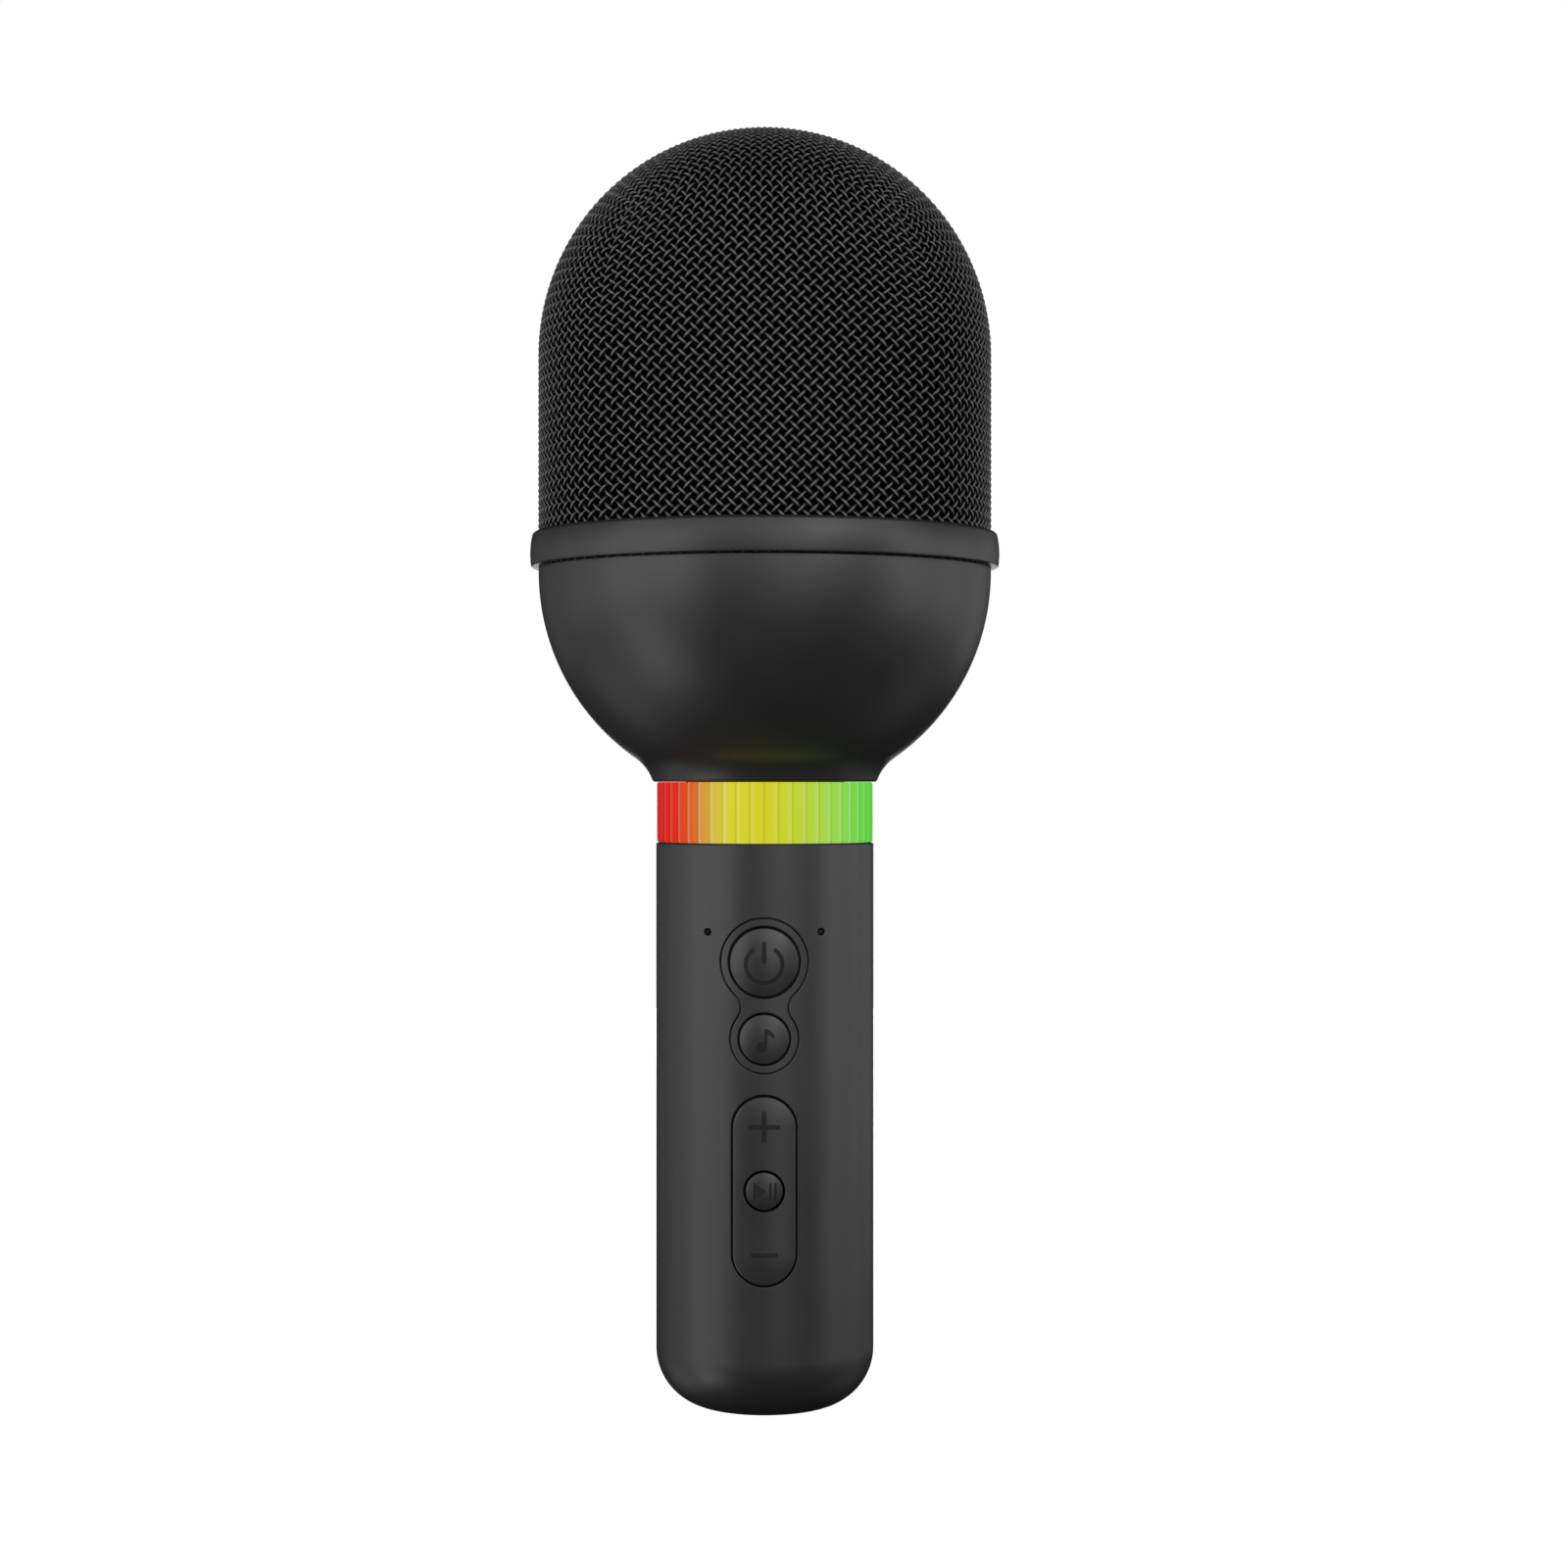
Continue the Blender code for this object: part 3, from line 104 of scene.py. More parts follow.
# name: azimuth and elevation in degrees, and power; all are the same softbox
LIGHTS = {
    "left_front": (-45, 0, 1.68),
    "left": (-75, 0, 1.57),
    "left_rear": (-105, 0, 0.64),
    "back_left": (-135, 0, 0.17),
    "back": (180, 0, 2.00),
    "back_right": (135, 0, 0.42),
    "right_rear": (105, 0, 1.02),
    "right": (75, 0, 1.69),
    "front": (15, 0, 0.94),
    "high_left": (-60, 20, 1.10),
    "high_left_front": (-30, 20, 1.11),
    "high_front": (0, 20, 1.37),
    "high_right_front": (30, 20, 2.83),
    "high_right": (60, 20, 1.28),
    "table_left": (-67.5, -35, 1.68),
    "table_left_rear": (-112.5, -35, 0.48),
    "table_right": (112.5, -35, 0.20),
}
SOFTBOX_AIM_Z, SOFTBOX_DISTANCE = 0.12, 1.0
SOFTBOX_WIDTH, SOFTBOX_HEIGHT = 0.4, 0.5
FLOOR_REACH = 4.0
UNSEEN_WORLD = 0.01  # strength of the world where the camera doesn't see it directly
WHITE, BLACK = (1, 1, 1, 1), (0, 0, 0, 1)


def make_camera():
    """Level with the neck, a little to the right of the microphone's axis."""
    data = bpy.data.cameras.new("camera")
    data.sensor_width = 36.0
    data.lens = 70.8
    data.clip_start = 0.01
    camera = bpy.data.objects.new("camera", data)
    camera.location = (0.00352, -0.568, 0.1142)
    camera.rotation_euler = (math.radians(90), 0, 0)
    bpy.context.collection.objects.link(camera)
    bpy.context.scene.camera = camera


def softbox(name, azimuth, elevation, power):
    """A soft light that faces the middle of the microphone; some shine up through the table."""
    data = bpy.data.lights.new(name, "AREA")
    data.shape = "RECTANGLE"
    data.size, data.size_y = SOFTBOX_WIDTH, SOFTBOX_HEIGHT
    data.energy = power
    light = bpy.data.objects.new(name, data)
    a, e = math.radians(azimuth), math.radians(elevation)
    away = Vector((math.sin(a) * math.cos(e), -math.cos(a) * math.cos(e), math.sin(e)))
    light.location = Vector((0, 0, SOFTBOX_AIM_Z)) + away * SOFTBOX_DISTANCE
    light.rotation_euler = away.to_track_quat("Z", "Y").to_euler()
    light.visible_camera = False
    bpy.context.collection.objects.link(light)


def feed(tree, node, inputs):
    """Gives a node's inputs plain values, or links them to other nodes' sockets."""
    for name, term in inputs.items():
        if isinstance(term, bpy.types.NodeSocket):
            tree.links.new(term, node.inputs[name])
        else:
            node.inputs[name].default_value = term


def add(tree, kind, inputs=None, **settings):
    """A new shader node with its settings and its inputs."""
    node = tree.nodes.new("ShaderNode" + kind)
    for setting, value in settings.items():
        setattr(node, setting, value)
    feed(tree, node, inputs or {})
    return node


def new_paint(name):
    """A material, its node tree and its Principled shader."""
    paint = bpy.data.materials.new(name)
    paint.use_nodes = True
    return paint, paint.node_tree, paint.node_tree.nodes["Principled BSDF"]


def make_world():
    """White behind the microphone; a dim grey is what it reflects between the softboxes."""
    world = bpy.data.worlds.new("studio")
    bpy.context.scene.world = world
    world.use_nodes = True
    tree = world.node_tree
    tree.nodes.clear()
    seen = add(tree, "Background", {"Color": WHITE})
    unseen = add(tree, "Background", {"Color": WHITE, "Strength": UNSEEN_WORLD})
    path = add(tree, "LightPath")
    mix = add(tree, "MixShader", {
        "Fac": path.outputs["Is Camera Ray"], 1: unseen.outputs[0], 2: seen.outputs[0]
    })
    add(tree, "OutputWorld", {"Surface": mix.outputs[0]})


def make_floor():
    """A pale floor, bright enough to run into the white behind it."""
    mesh = bpy.data.meshes.new("floor")
    corners = [(FLOOR_REACH * x, FLOOR_REACH * y, 0) for x, y in ((-1, -1), (1, -1), (1, 1), (-1, 1))]
    mesh.from_pydata(corners, [], [(0, 1, 2, 3)])
    paint, tree, shader = new_paint("floor_white")
    feed(tree, shader, {"Base Color": (0.8, 0.8, 0.8, 1), "Roughness": 0.9,
                        "Emission Color": WHITE, "Emission Strength": 1.0})
    mesh.materials.append(paint)
    floor = bpy.data.objects.new("floor", mesh)
    floor.visible_glossy = False
    floor.visible_diffuse = False
    floor.visible_shadow = False
    bpy.context.collection.objects.link(floor)


def make_stage():
    make_camera()
    for name, settings in LIGHTS.items():
        softbox(name, *settings)
    make_world()
    make_floor()
    view = bpy.context.scene.view_settings
    view.view_transform = "Standard"
    view.look = "None"
    view.exposure = 0.0
    view.gamma = 1.0


# ---- finishes

FINISHES = {}
MOTTLE_SPAN = (0.3, 0.7)  # the stretch of the noise over which colour and roughness change
MOTTLE_DETAIL, GRAIN_DETAIL = 3.0, 2.0


def grey(value):
    return (value, value, value)


def greys(low, high):
    return grey(low), grey(high)


def grey_stops(stops):
    return [(position, grey(value)) for position, value in stops]


def linear(colour):
    """The linear colour of an sRGB one given in 0 to 255."""
    shares = [channel / 255 for channel in colour]
    return [c / 12.92 if c <= 0.04045 else ((c + 0.055) / 1.055) ** 2.4 for c in shares]


def maths(tree, operation, *terms):
    """The result of a maths node on numbers and sockets."""
    return add(tree, "Math", dict(enumerate(terms)), operation=operation).outputs[0]


def ramp(tree, factor, stops):
    """The colour that a factor picks from stops of (position, linear colour)."""
    node = add(tree, "ValToRGB", {"Fac": factor})
    elements = node.color_ramp.elements
    while len(elements) < len(stops):
        elements.new(0.5)
    for element, (position, colour) in zip(elements, stops):
        element.position = position
        element.color = (*colour, 1)
    return node.outputs["Color"]


def mixed(tree, factor, first, second):
    """A mix of two colours; any of the three may be a socket."""
    inputs = {"Factor": factor, "A": first, "B": second}
    return add(tree, "Mix", inputs, data_type="RGBA").outputs["Result"]


def mapped(tree, value, before, after, **settings):
    """A value carried from one range over to another."""
    inputs = {"Value": value, "From Min": before[0], "From Max": before[1],
              "To Min": after[0], "To Max": after[1]}
    return add(tree, "MapRange", inputs, **settings).outputs["Result"]


def finish(name, colours, roughness, grain, mottle, metallic=0.0, specular=0.5):
    """A Principled finish whose colour and roughness wander, with a fine bumped grain.

    colours and roughness are (low, high); grain is (noise scale, bump height in metres),
    and mottle is the scale of the wandering.
    """
    paint, tree, shader = new_paint(name)
    place = add(tree, "TexCoord").outputs["Object"]
    drift = add(tree, "TexNoise", {"Vector": place, "Scale": mottle, "Detail": MOTTLE_DETAIL})
    fine = add(tree, "TexNoise", {"Vector": place, "Scale": grain[0], "Detail": GRAIN_DETAIL})
    bump = add(tree, "Bump", {"Strength": 1.0, "Distance": grain[1], "Height": fine.outputs["Fac"]})
    feed(tree, shader, {
        "Base Color": ramp(tree, drift.outputs["Fac"], list(zip(MOTTLE_SPAN, colours))),
        "Roughness": mapped(tree, drift.outputs["Fac"], MOTTLE_SPAN, roughness),
        "Normal": bump.outputs["Normal"],
        "Metallic": metallic,
        "Specular IOR Level": specular,
    })
    FINISHES[name] = paint


def make_finishes():
    finish("satin_black", greys(0.0155, 0.018), (0.40, 0.44), (3500, 1.2e-6), 90)
    finish("key_black", greys(0.0155, 0.018), (0.36, 0.40), (4500, 0.8e-6), 140)
    finish("engraved_black", greys(0.006, 0.009), (0.6, 0.7), (3000, 2e-6), 140, specular=0.3)
    finish("moulded_black", greys(0.02, 0.03), (0.5, 0.62), (1800, 6e-6), 80)
    make_wire_finish()
    finish("foam_black", greys(0.001, 0.003), (0.95, 1.0), (1400, 2.5e-4), 500, specular=0.03)
    finish("rubber_black", greys(0.012, 0.02), (0.75, 0.9), (2200, 1e-5), 120)
    finish("paper_black", greys(0.02, 0.04), (0.8, 0.95), (1500, 3e-5), 300)
    finish("white_moulded", greys(0.70, 0.76), (0.4, 0.55), (1800, 4e-6), 90)
    finish("smoked", greys(0.004, 0.008), (0.3, 0.45), (2600, 4e-6), 200, specular=0.2)
    finish("bright_steel", greys(0.50, 0.62), (0.22, 0.38), (900, 3e-6), 120, metallic=1.0)
    finish("ferrite_grey", greys(0.03, 0.06), (0.5, 0.7), (1500, 2e-5), 260)
    finish("copper_wound", ((0.60, 0.28, 0.14), (0.75, 0.38, 0.22)), (0.28, 0.4), (2500, 1.5e-5),
           240, metallic=1.0)
    finish("board_mask", ((0.010, 0.075, 0.03), (0.02, 0.12, 0.05)), (0.25, 0.4), (900, 6e-6), 160)
    finish("cell_sleeve", ((0.03, 0.11, 0.32), (0.04, 0.15, 0.42)), (0.25, 0.38), (700, 8e-6), 60)
    finish("lead_jacket", greys(0.012, 0.02), (0.45, 0.6), (1500, 4e-6), 120)
    make_ring_finish()


def make_wire_finish():
    """Black enamelled wire with painted light and shade: painted pale on the crowns of the weave,
    where light falls, and painted dark and dull down in its crossings, where shade falls.
    """
    finish("wire_black", greys(0.75, 1.0), (0.30, 0.42), (2600, 2e-6), 900, specular=0.3)
    tree = FINISHES["wire_black"].node_tree
    shader = tree.nodes["Principled BSDF"]
    enamel = shader.inputs["Base Color"].links[0].from_socket
    split = add(tree, "SeparateXYZ", {"Vector": add(tree, "TexCoord").outputs["Object"]})
    above = maths(tree, "SUBTRACT", split.outputs["Z"], GRILLE_EQUATOR_Z * MM)
    dome = maths(tree, "MAXIMUM", above, 0.0)
    spoke = add(tree, "CombineXYZ", {"X": split.outputs["X"], "Y": split.outputs["Y"], "Z": dome})
    reach = add(tree, "VectorMath", {0: spoke.outputs["Vector"]}, operation="LENGTH")
    # painted shade and highlight: the colour runs from near black deep in the weave's crossings to
    # pale on its outermost crowns
    shaded_r, lit_r = WEAVE_R + 0.02, WEAVE_R + WIRE_R + CRIMP - 0.04
    painted_light_share = mapped(tree, reach.outputs["Value"], (shaded_r * MM, lit_r * MM), (0.002, 0.145),
                    interpolation_type="SMOOTHSTEP")
    feed(tree, shader, {"Base Color": mixed(tree, painted_light_share, BLACK, enamel)})


# Colour round the light ring: degrees from the front towards +X, and the sRGB colour.
RING_COLOURS = [
    (-90, (150, 14, 24)), (-80, (190, 14, 14)), (-66, (214, 16, 4)), (-54, (218, 34, 0)),
    (-47, (218, 66, 0)), (-40, (214, 98, 18)), (-34, (214, 144, 40)), (-27, (212, 184, 54)),
    (-20, (212, 204, 48)), (-12, (210, 208, 36)), (0, (208, 206, 36)), (12, (198, 208, 44)),
    (26, (179, 210, 60)), (40, (150, 212, 72)), (50, (122, 214, 66)), (60, (100, 208, 58)),
    (74, (80, 204, 44)), (88, (66, 184, 46)), (100, (48, 186, 92)), (125, (40, 186, 158)),
    (150, (44, 156, 206)), (175, (54, 98, 214)), (200, (106, 60, 206)), (225, (166, 48, 186)),
    (250, (188, 30, 104)),
]
FLUTES = 48
# Across each flute, outward from the front: a pale strip of painted reflection, and a dim line of
# painted shade at the groove.
PAINTED_REFLECTION_ACROSS = [(0, 0), (0.60, 0.03), (0.72, 0.22), (0.88, 0.30), (0.94, 0), (1, 0)]
PAINTED_GROOVE_SHADE = [(0, 0.78), (0.05, 0.90), (0.10, 0.98), (0.92, 1), (0.97, 0.86), (1, 0.70)]
PAINTED_REFLECTION_COLOUR = (0.75, 0.72, 0.62, 1)
# Strength of the painted reflections of the softboxes: degrees from the front towards +X, and the
# share.
PAINTED_REFLECTION_STRENGTHS = [(0, 0.2), (20, 0.4), (50, 0.9), (75, 0.8), (95, 0.5), (265, 0.35), (300, 0.35),
                   (318, 0.7), (330, 1.0), (346, 0.5), (360, 0.2)]
UNLIT_PLASTIC, UNLIT_TINT = (0.004, 0.004, 0.004, 1), 0.03


def make_ring_finish():
    """Lit translucent plastic: its own colour goes round the ring, with painted shade dimming it
    between flutes and painted reflections as pale strips on the flutes.
    """
    paint, tree, shader = new_paint("lit_ring")
    split = add(tree, "SeparateXYZ", {"Vector": add(tree, "TexCoord").outputs["Object"]})
    forward = maths(tree, "MULTIPLY", split.outputs["Y"], -1.0)
    turn = maths(tree, "ARCTAN2", split.outputs["X"], forward)
    share = maths(tree, "DIVIDE", turn, math.tau)
    wrap = maths(tree, "FRACT", share)
    phase = maths(tree, "FRACT", maths(tree, "MULTIPLY", maths(tree, "ABSOLUTE", share), FLUTES))
    stops = sorted((degrees % 360 / 360, linear(colour)) for degrees, colour in RING_COLOURS)
    stops.append((1.0, stops[0][1]))
    hue = ramp(tree, wrap, stops)
    # painted reflection: pale strips of softbox light across the flutes, stronger towards the sides
    reflection_strengths = grey_stops((degrees / 360, strength) for degrees, strength in PAINTED_REFLECTION_STRENGTHS)
    reflection_across = ramp(tree, phase, grey_stops(PAINTED_REFLECTION_ACROSS))
    strip = maths(tree, "MULTIPLY", reflection_across, ramp(tree, wrap, reflection_strengths))
    glow_with_reflection = mixed(tree, strip, hue, PAINTED_REFLECTION_COLOUR)
    # the emission carries the painted reflections, and painted shade dims it along the grooves
    feed(tree, shader, {
        "Emission Color": mixed(tree, ramp(tree, phase, grey_stops(PAINTED_GROOVE_SHADE)), BLACK, glow_with_reflection),
        "Emission Strength": 1.0,
        "Base Color": mixed(tree, UNLIT_TINT, UNLIT_PLASTIC, hue),
        "Roughness": 0.3,
        "Specular IOR Level": 0.04,
    })
    FINISHES["lit_ring"] = paint


# ---- mesh building


def mesh_piece(name, points, faces, paint, body, nodes, normal_at=None, sharp=35,
               engraved=None):
    """A piece from points in millimetres, which replaces CAD nodes and rides with their body.

    normal_at gives the true surface normal at a point, or None where the faces decide.
    engraved says whether a point lies in an icon, and its faces get the engraved finish.
    """
    mesh = bpy.data.meshes.new(name)
    mesh.from_pydata([(x * MM, y * MM, z * MM) for x, y, z in points], [], faces)
    mesh.validate()
    mesh.shade_smooth()
    if sharp:
        mesh.set_sharp_from_angle(angle=math.radians(sharp))
    if normal_at:
        known = [normal_at(*(c / MM for c in v.co)) for v in mesh.vertices]
        wanted = [(0.0, 0.0, 0.0)] * len(mesh.loops)
        for face in mesh.polygons:
            if all(known[v] is not None for v in face.vertices):
                for loop in face.loop_indices:
                    wanted[loop] = known[mesh.loops[loop].vertex_index]
        mesh.normals_split_custom_set(wanted)
    mesh.materials.append(FINISHES[paint])
    if engraved:
        mesh.materials.append(FINISHES["engraved_black"])
        sunk = [engraved(*(c / MM for c in v.co)) for v in mesh.vertices]
        for face in mesh.polygons:
            if any(sunk[v] for v in face.vertices):
                face.material_index = 1
    piece = bpy.data.objects.new(name, mesh)
    bpy.context.collection.objects.link(piece)
    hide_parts(*nodes)
    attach(piece, body)
    return piece


def arc(centre, radius, start_deg, end_deg, steps):
    turns = [math.radians(start_deg + (end_deg - start_deg) * i / steps) for i in range(steps + 1)]
    return [(centre[0] + radius * math.cos(t), centre[1] + radius * math.sin(t)) for t in turns]


def spun(radius, turn, z):
    """A point at this radius and height, turned from the front towards +X."""
    return radius * math.sin(turn), -radius * math.cos(turn), z


def hoop(radius, z, columns=COLUMNS):
    """Points all the way round, starting at the front."""
    return [spun(radius, math.tau * k / columns, z) for k in range(columns)]


def joined(rows):
    """Faces between rows of point numbers, each row closed on itself; a row may be one point."""
    faces = []
    for low, high in zip(rows, rows[1:]):
        for k in range(len(low)):
            n = (k + 1) % len(low)
            corners = tuple(dict.fromkeys((low[k], low[n], high[n], high[k])))
            if len(corners) > 2:
                faces.append(corners)
    return faces


def turned(outline, columns=COLUMNS):
    """Points and faces of an outline of (radius, height) spun about Z."""
    points, rows = [], []
    for r, z in outline:
        if r:
            rows.append(range(len(points), len(points) + columns))
            points += hoop(r, z, columns)
        else:
            rows.append([len(points)] * columns)
            points.append((0.0, 0.0, z))
    if outline[0][0] or outline[-1][0]:
        rows.append(rows[0])
    return points, joined(rows)


LEAST_GAP = 0.45  # nearest that a loose point comes to an outline, as a share of the spacing


def inside(points, loop):
    """Which of the points lie inside a closed outline."""
    points, loop = np.asarray(points, float), np.asarray(loop, float)
    x, y = points[:, 0], points[:, 1]
    within = np.zeros(len(points), bool)
    for (ax, ay), (bx, by) in zip(loop, np.roll(loop, -1, axis=0)):
        if ay == by:
            continue
        crosses = (ay > y) != (by > y)
        within ^= crosses & (x < (bx - ax) * (y - ay) / (by - ay) + ax)
    return within


def clear_of(points, border, holes):
    """Which of the points lie inside the border and outside its holes."""
    clear = inside(points, border)
    for hole in holes:
        clear &= ~inside(points, hole)
    return clear


def triangulate(border, holes, ridges, loose):
    """Triangles between a border and its holes, through ridge outlines and loose points."""
    corners, edges = [], []
    for loop in [border, *holes, *ridges]:
        start = len(corners)
        corners += loop
        edges += [(start + i, start + (i + 1) % len(loop)) for i in range(len(loop))]
    loose = np.array(loose)
    loose = loose[clear_of(loose, border, holes)]
    apart = np.full(len(loose), np.inf)
    for x, y in corners:
        apart = np.minimum(apart, np.hypot(loose[:, 0] - x, loose[:, 1] - y))
    spacing = np.median(np.diff(np.unique(loose[:, 0].round(4))))
    corners += [tuple(p) for p in loose[apart > LEAST_GAP * spacing]]
    whole_hull, epsilon = 0, 1e-6
    found = delaunay_2d_cdt([Vector(c) for c in corners], edges, [], whole_hull, epsilon)
    spots = [tuple(v) for v in found[0]]
    centres = np.array([np.mean([spots[v] for v in face], axis=0) for face in found[2]])
    keep = clear_of(centres, border, holes)
    return spots, [tuple(face) for face, kept in zip(found[2], keep) if kept]


JOIN = 0.0005  # points this near each other become one


class Shell:
    """Collects points and faces, joining points that fall together."""

    def __init__(self):
        self.points, self.faces, self.index = [], [], {}

    def point(self, p):
        key = tuple(round(c / JOIN) for c in p)
        if key not in self.index:
            self.index[key] = len(self.points)
            self.points.append(tuple(p))
        return self.index[key]

    def face(self, corners):
        numbers = tuple(dict.fromkeys(self.point(p) for p in corners))
        if len(numbers) > 2:
            self.faces.append(numbers)

    def sheet(self, spots, triangles, place, flip=False):
        for triangle in triangles:
            corners = [place(*spots[v]) for v in triangle]
            self.face(corners[::-1] if flip else corners)

    def strip(self, low, high, closed=True):
        """Quads between two outlines of the same count."""
        count = len(low)
        for i in range(count if closed else count - 1):
            n = (i + 1) % count
            self.face([low[i], low[n], high[n], high[i]])

    def strips(self, outlines):
        """Quads along a stack of closed outlines."""
        for low, high in zip(outlines, outlines[1:]):
            self.strip(low, high)

    def oriented(self):
        """The faces, turned so that they all point outwards."""
        bm = bmesh.new()
        made = [bm.verts.new(p) for p in self.points]
        for face in self.faces:
            try:
                bm.faces.new([made[v] for v in face])
            except ValueError:
                pass
        bmesh.ops.recalc_face_normals(bm, faces=bm.faces)
        bm.verts.index_update()
        faces = [tuple(v.index for v in f.verts) for f in bm.faces]
        bm.free()
        return faces


def circle(centre, radius, steps=96):
    return arc(centre, radius, 0, 360, steps)[:-1]


def pill(centre, half_width, half_height, steps=40):
    x, z = centre
    straight = half_height - half_width
    side = 12
    left = [(x - half_width, z + straight - 2 * straight * i / side) for i in range(1, side)]
    right = [(x + half_width, z - straight + 2 * straight * i / side) for i in range(1, side)]
    return (
        arc((x, z + straight), half_width, 0, 180, steps) + left
        + arc((x, z - straight), half_width, 180, 360, steps) + right
    )


def figure_eight(inset):
    """Outline round the two upper keys: two circles joined by concave fillets."""
    upper_r, lower_r = BEZEL_UPPER_R - inset, BEZEL_LOWER_R - inset
    fillet = BEZEL_WAIST + inset
    apart = POWER_Z - MODE_Z
    to_upper, to_lower = upper_r + fillet, lower_r + fillet
    drop = (to_upper**2 - to_lower**2 + apart**2) / (2 * apart)
    side = math.sqrt(to_upper**2 - drop**2)
    upper_deg = math.degrees(math.atan2(-drop, side))
    lower_deg = math.degrees(math.atan2(apart - drop, side))
    waist_z = POWER_Z - drop
    return (
        arc((0, POWER_Z), upper_r, upper_deg, 180 - upper_deg, 90)
        + arc((-side, waist_z), fillet, -upper_deg, -lower_deg, 16)[1:-1]
        + arc((0, MODE_Z), lower_r, 180 - lower_deg, 360 + lower_deg, 76)
        + arc((side, waist_z), fillet, 180 + lower_deg, 180 + upper_deg, 16)[1:-1]
    )


# Each opening in the front: a function that gives its outline grown by a margin.
OPENINGS = {
    "power": lambda grow: circle((0, POWER_Z), POWER_HOLE_R + grow),
    "mode": lambda grow: circle((0, MODE_Z), MODE_HOLE_R + grow),
    "bezel": lambda grow: figure_eight(-grow),
    "rocker": lambda grow: pill((0, ROCKER_Z), ROCKER_HALF_WIDTH + grow, ROCKER_HALF_HEIGHT + grow),
    "status_left": lambda grow: circle((-STATUS_X, STATUS_Z), STATUS_HOLE_R + grow, 32),
    "status_right": lambda grow: circle((STATUS_X, STATUS_Z), STATUS_HOLE_R + grow, 32),
}


def edge_profile(radius, steps=4):
    """A rounded edge as (how far outside the opening, how deep) pairs, from the top down."""
    turns = [math.pi / 2 * i / steps for i in range(steps + 1)]
    return [(radius * (1 - math.sin(t)), radius * (1 - math.cos(t))) for t in turns]


def on_cylinder(radius, depth=0.0):
    """Places (x, z) on the front of a cylinder, or a little behind it."""
    return lambda x, z: (x, -math.sqrt(radius**2 - x**2) + depth, z)


def wrapped(outline, radius, depth=0.0):
    """An outline laid on the front of a cylinder, or a little behind it."""
    place = on_cylinder(radius, depth)
    return [place(x, z) for x, z in outline]


def grid(x_half, low_z, top_z, spacing):
    """Loose points in offset rows."""
    spots = []
    rows = int((top_z - low_z) / spacing)
    columns = int(2 * x_half / spacing)
    for j in range(rows + 1):
        shift = 0.5 * spacing * (j % 2)
        for i in range(columns + 1):
            spots.append((-x_half + i * spacing + shift, low_z + j * spacing))
    return spots


def opening(shell, shape, rim, radius, floor_radius):
    """The rounded rim and the walls round a shape, down to the surface below."""
    outlines = [wrapped(shape(grow), radius, depth) for grow, depth in edge_profile(rim)]
    shell.strips(outlines + [wrapped(shape(0), floor_radius)])


# ---- handle

FRONT_DEG = 75.0  # the openings lie within this angle of the front
TUBE_ROWS = 44
RIM = 0.16
FLAT_R = HANDLE_R - BASE_ROUND  # the flat disc of the base
SLACK = 1e-3  # how far a point may be off the surface that it belongs to
KEY_PATCH = (8, 60, 92, 0.8)  # loose points round the two upper keys: half width, ends, spacing


def front_columns():
    """Where the columns of the handle's front part stand, in degrees."""
    step = 360 / COLUMNS
    half = int(FRONT_DEG / step)
    return [step * k for k in range(-half, half + 1)]


def row_heights(low_z, top_z):
    return [low_z + (top_z - low_z) * i / TUBE_ROWS for i in range(TUBE_ROWS + 1)]


def tube_front(shell, radius, low_z, top_z, openings, flip):
    """The front part of a tube wall with openings in it."""
    turns = [math.radians(t) for t in front_columns()]
    rows = row_heights(low_z, top_z)
    across = [radius * t for t in turns]
    border = (
        [(u, low_z) for u in across] + [(across[-1], z) for z in rows[1:-1]]
        + [(u, top_z) for u in across[::-1]] + [(across[0], z) for z in rows[-2:0:-1]]
    )
    flat = [[(radius * math.asin(x / radius), z) for x, z in loop] for loop in openings]
    loose = [(u, z) for z in rows[1:-1] for u in across[1:-1:2]]
    spots, triangles = triangulate(border, flat, [], loose)
    shell.sheet(spots, triangles, lambda u, z: spun(radius, u / radius, z), flip)


def tube_rest(shell, radius, low_z, top_z):
    """The plain rest of the tube wall, on the same columns and rows."""
    step = 360 / COLUMNS
    start, end = front_columns()[-1], 360 + front_columns()[0]
    count = round((end - start) / step)
    turns = [math.radians(start + step * k) for k in range(count + 1)]
    rows = row_heights(low_z, top_z)
    for z_low, z_top in zip(rows, rows[1:]):
        low = [spun(radius, t, z_low) for t in turns]
        high = [spun(radius, t, z_top) for t in turns]
        shell.strip(low, high, closed=False)


def turned_band(shell, outline):
    """An open outline of (radius, height) spun about Z."""
    shell.strips([hoop(r, z) for r, z in outline])


def rounded_slot(grow, steps=16):
    straight = USB_HALF_WIDTH - USB_HALF_THICK
    return (
        arc((straight, 0), USB_HALF_THICK + grow, -90, 90, steps)
        + arc((-straight, 0), USB_HALF_THICK + grow, 90, 270, steps)
    )


def disc_with_slot(shell, radius, z, grow):
    """A flat round floor with the charging slot through it."""
    border = [point[:2] for point in hoop(radius, z)]
    loose = grid(radius, -radius, radius, 1.0)
    spots, triangles = triangulate(border, [rounded_slot(grow)], [], loose)
    shell.sheet(spots, triangles, lambda x, y: (x, y, z))


def handle_normal(x, y, z):
    """The true normal on the handle's round outside and its base curve."""
    r = math.hypot(x, y)
    if z >= BASE_ROUND - SLACK:
        if abs(r - HANDLE_R) < 2 * SLACK and z < HANDLE_TOP_Z - TOP_BEVEL - SLACK:
            return (x / r, y / r, 0.0)
        return None
    out, up = r - FLAT_R, z - BASE_ROUND
    if r > SLACK and out >= -SLACK and abs(math.hypot(out, up) - BASE_ROUND) < 2 * SLACK:
        return (x / r * out / BASE_ROUND, y / r * out / BASE_ROUND, up / BASE_ROUND)
    return None


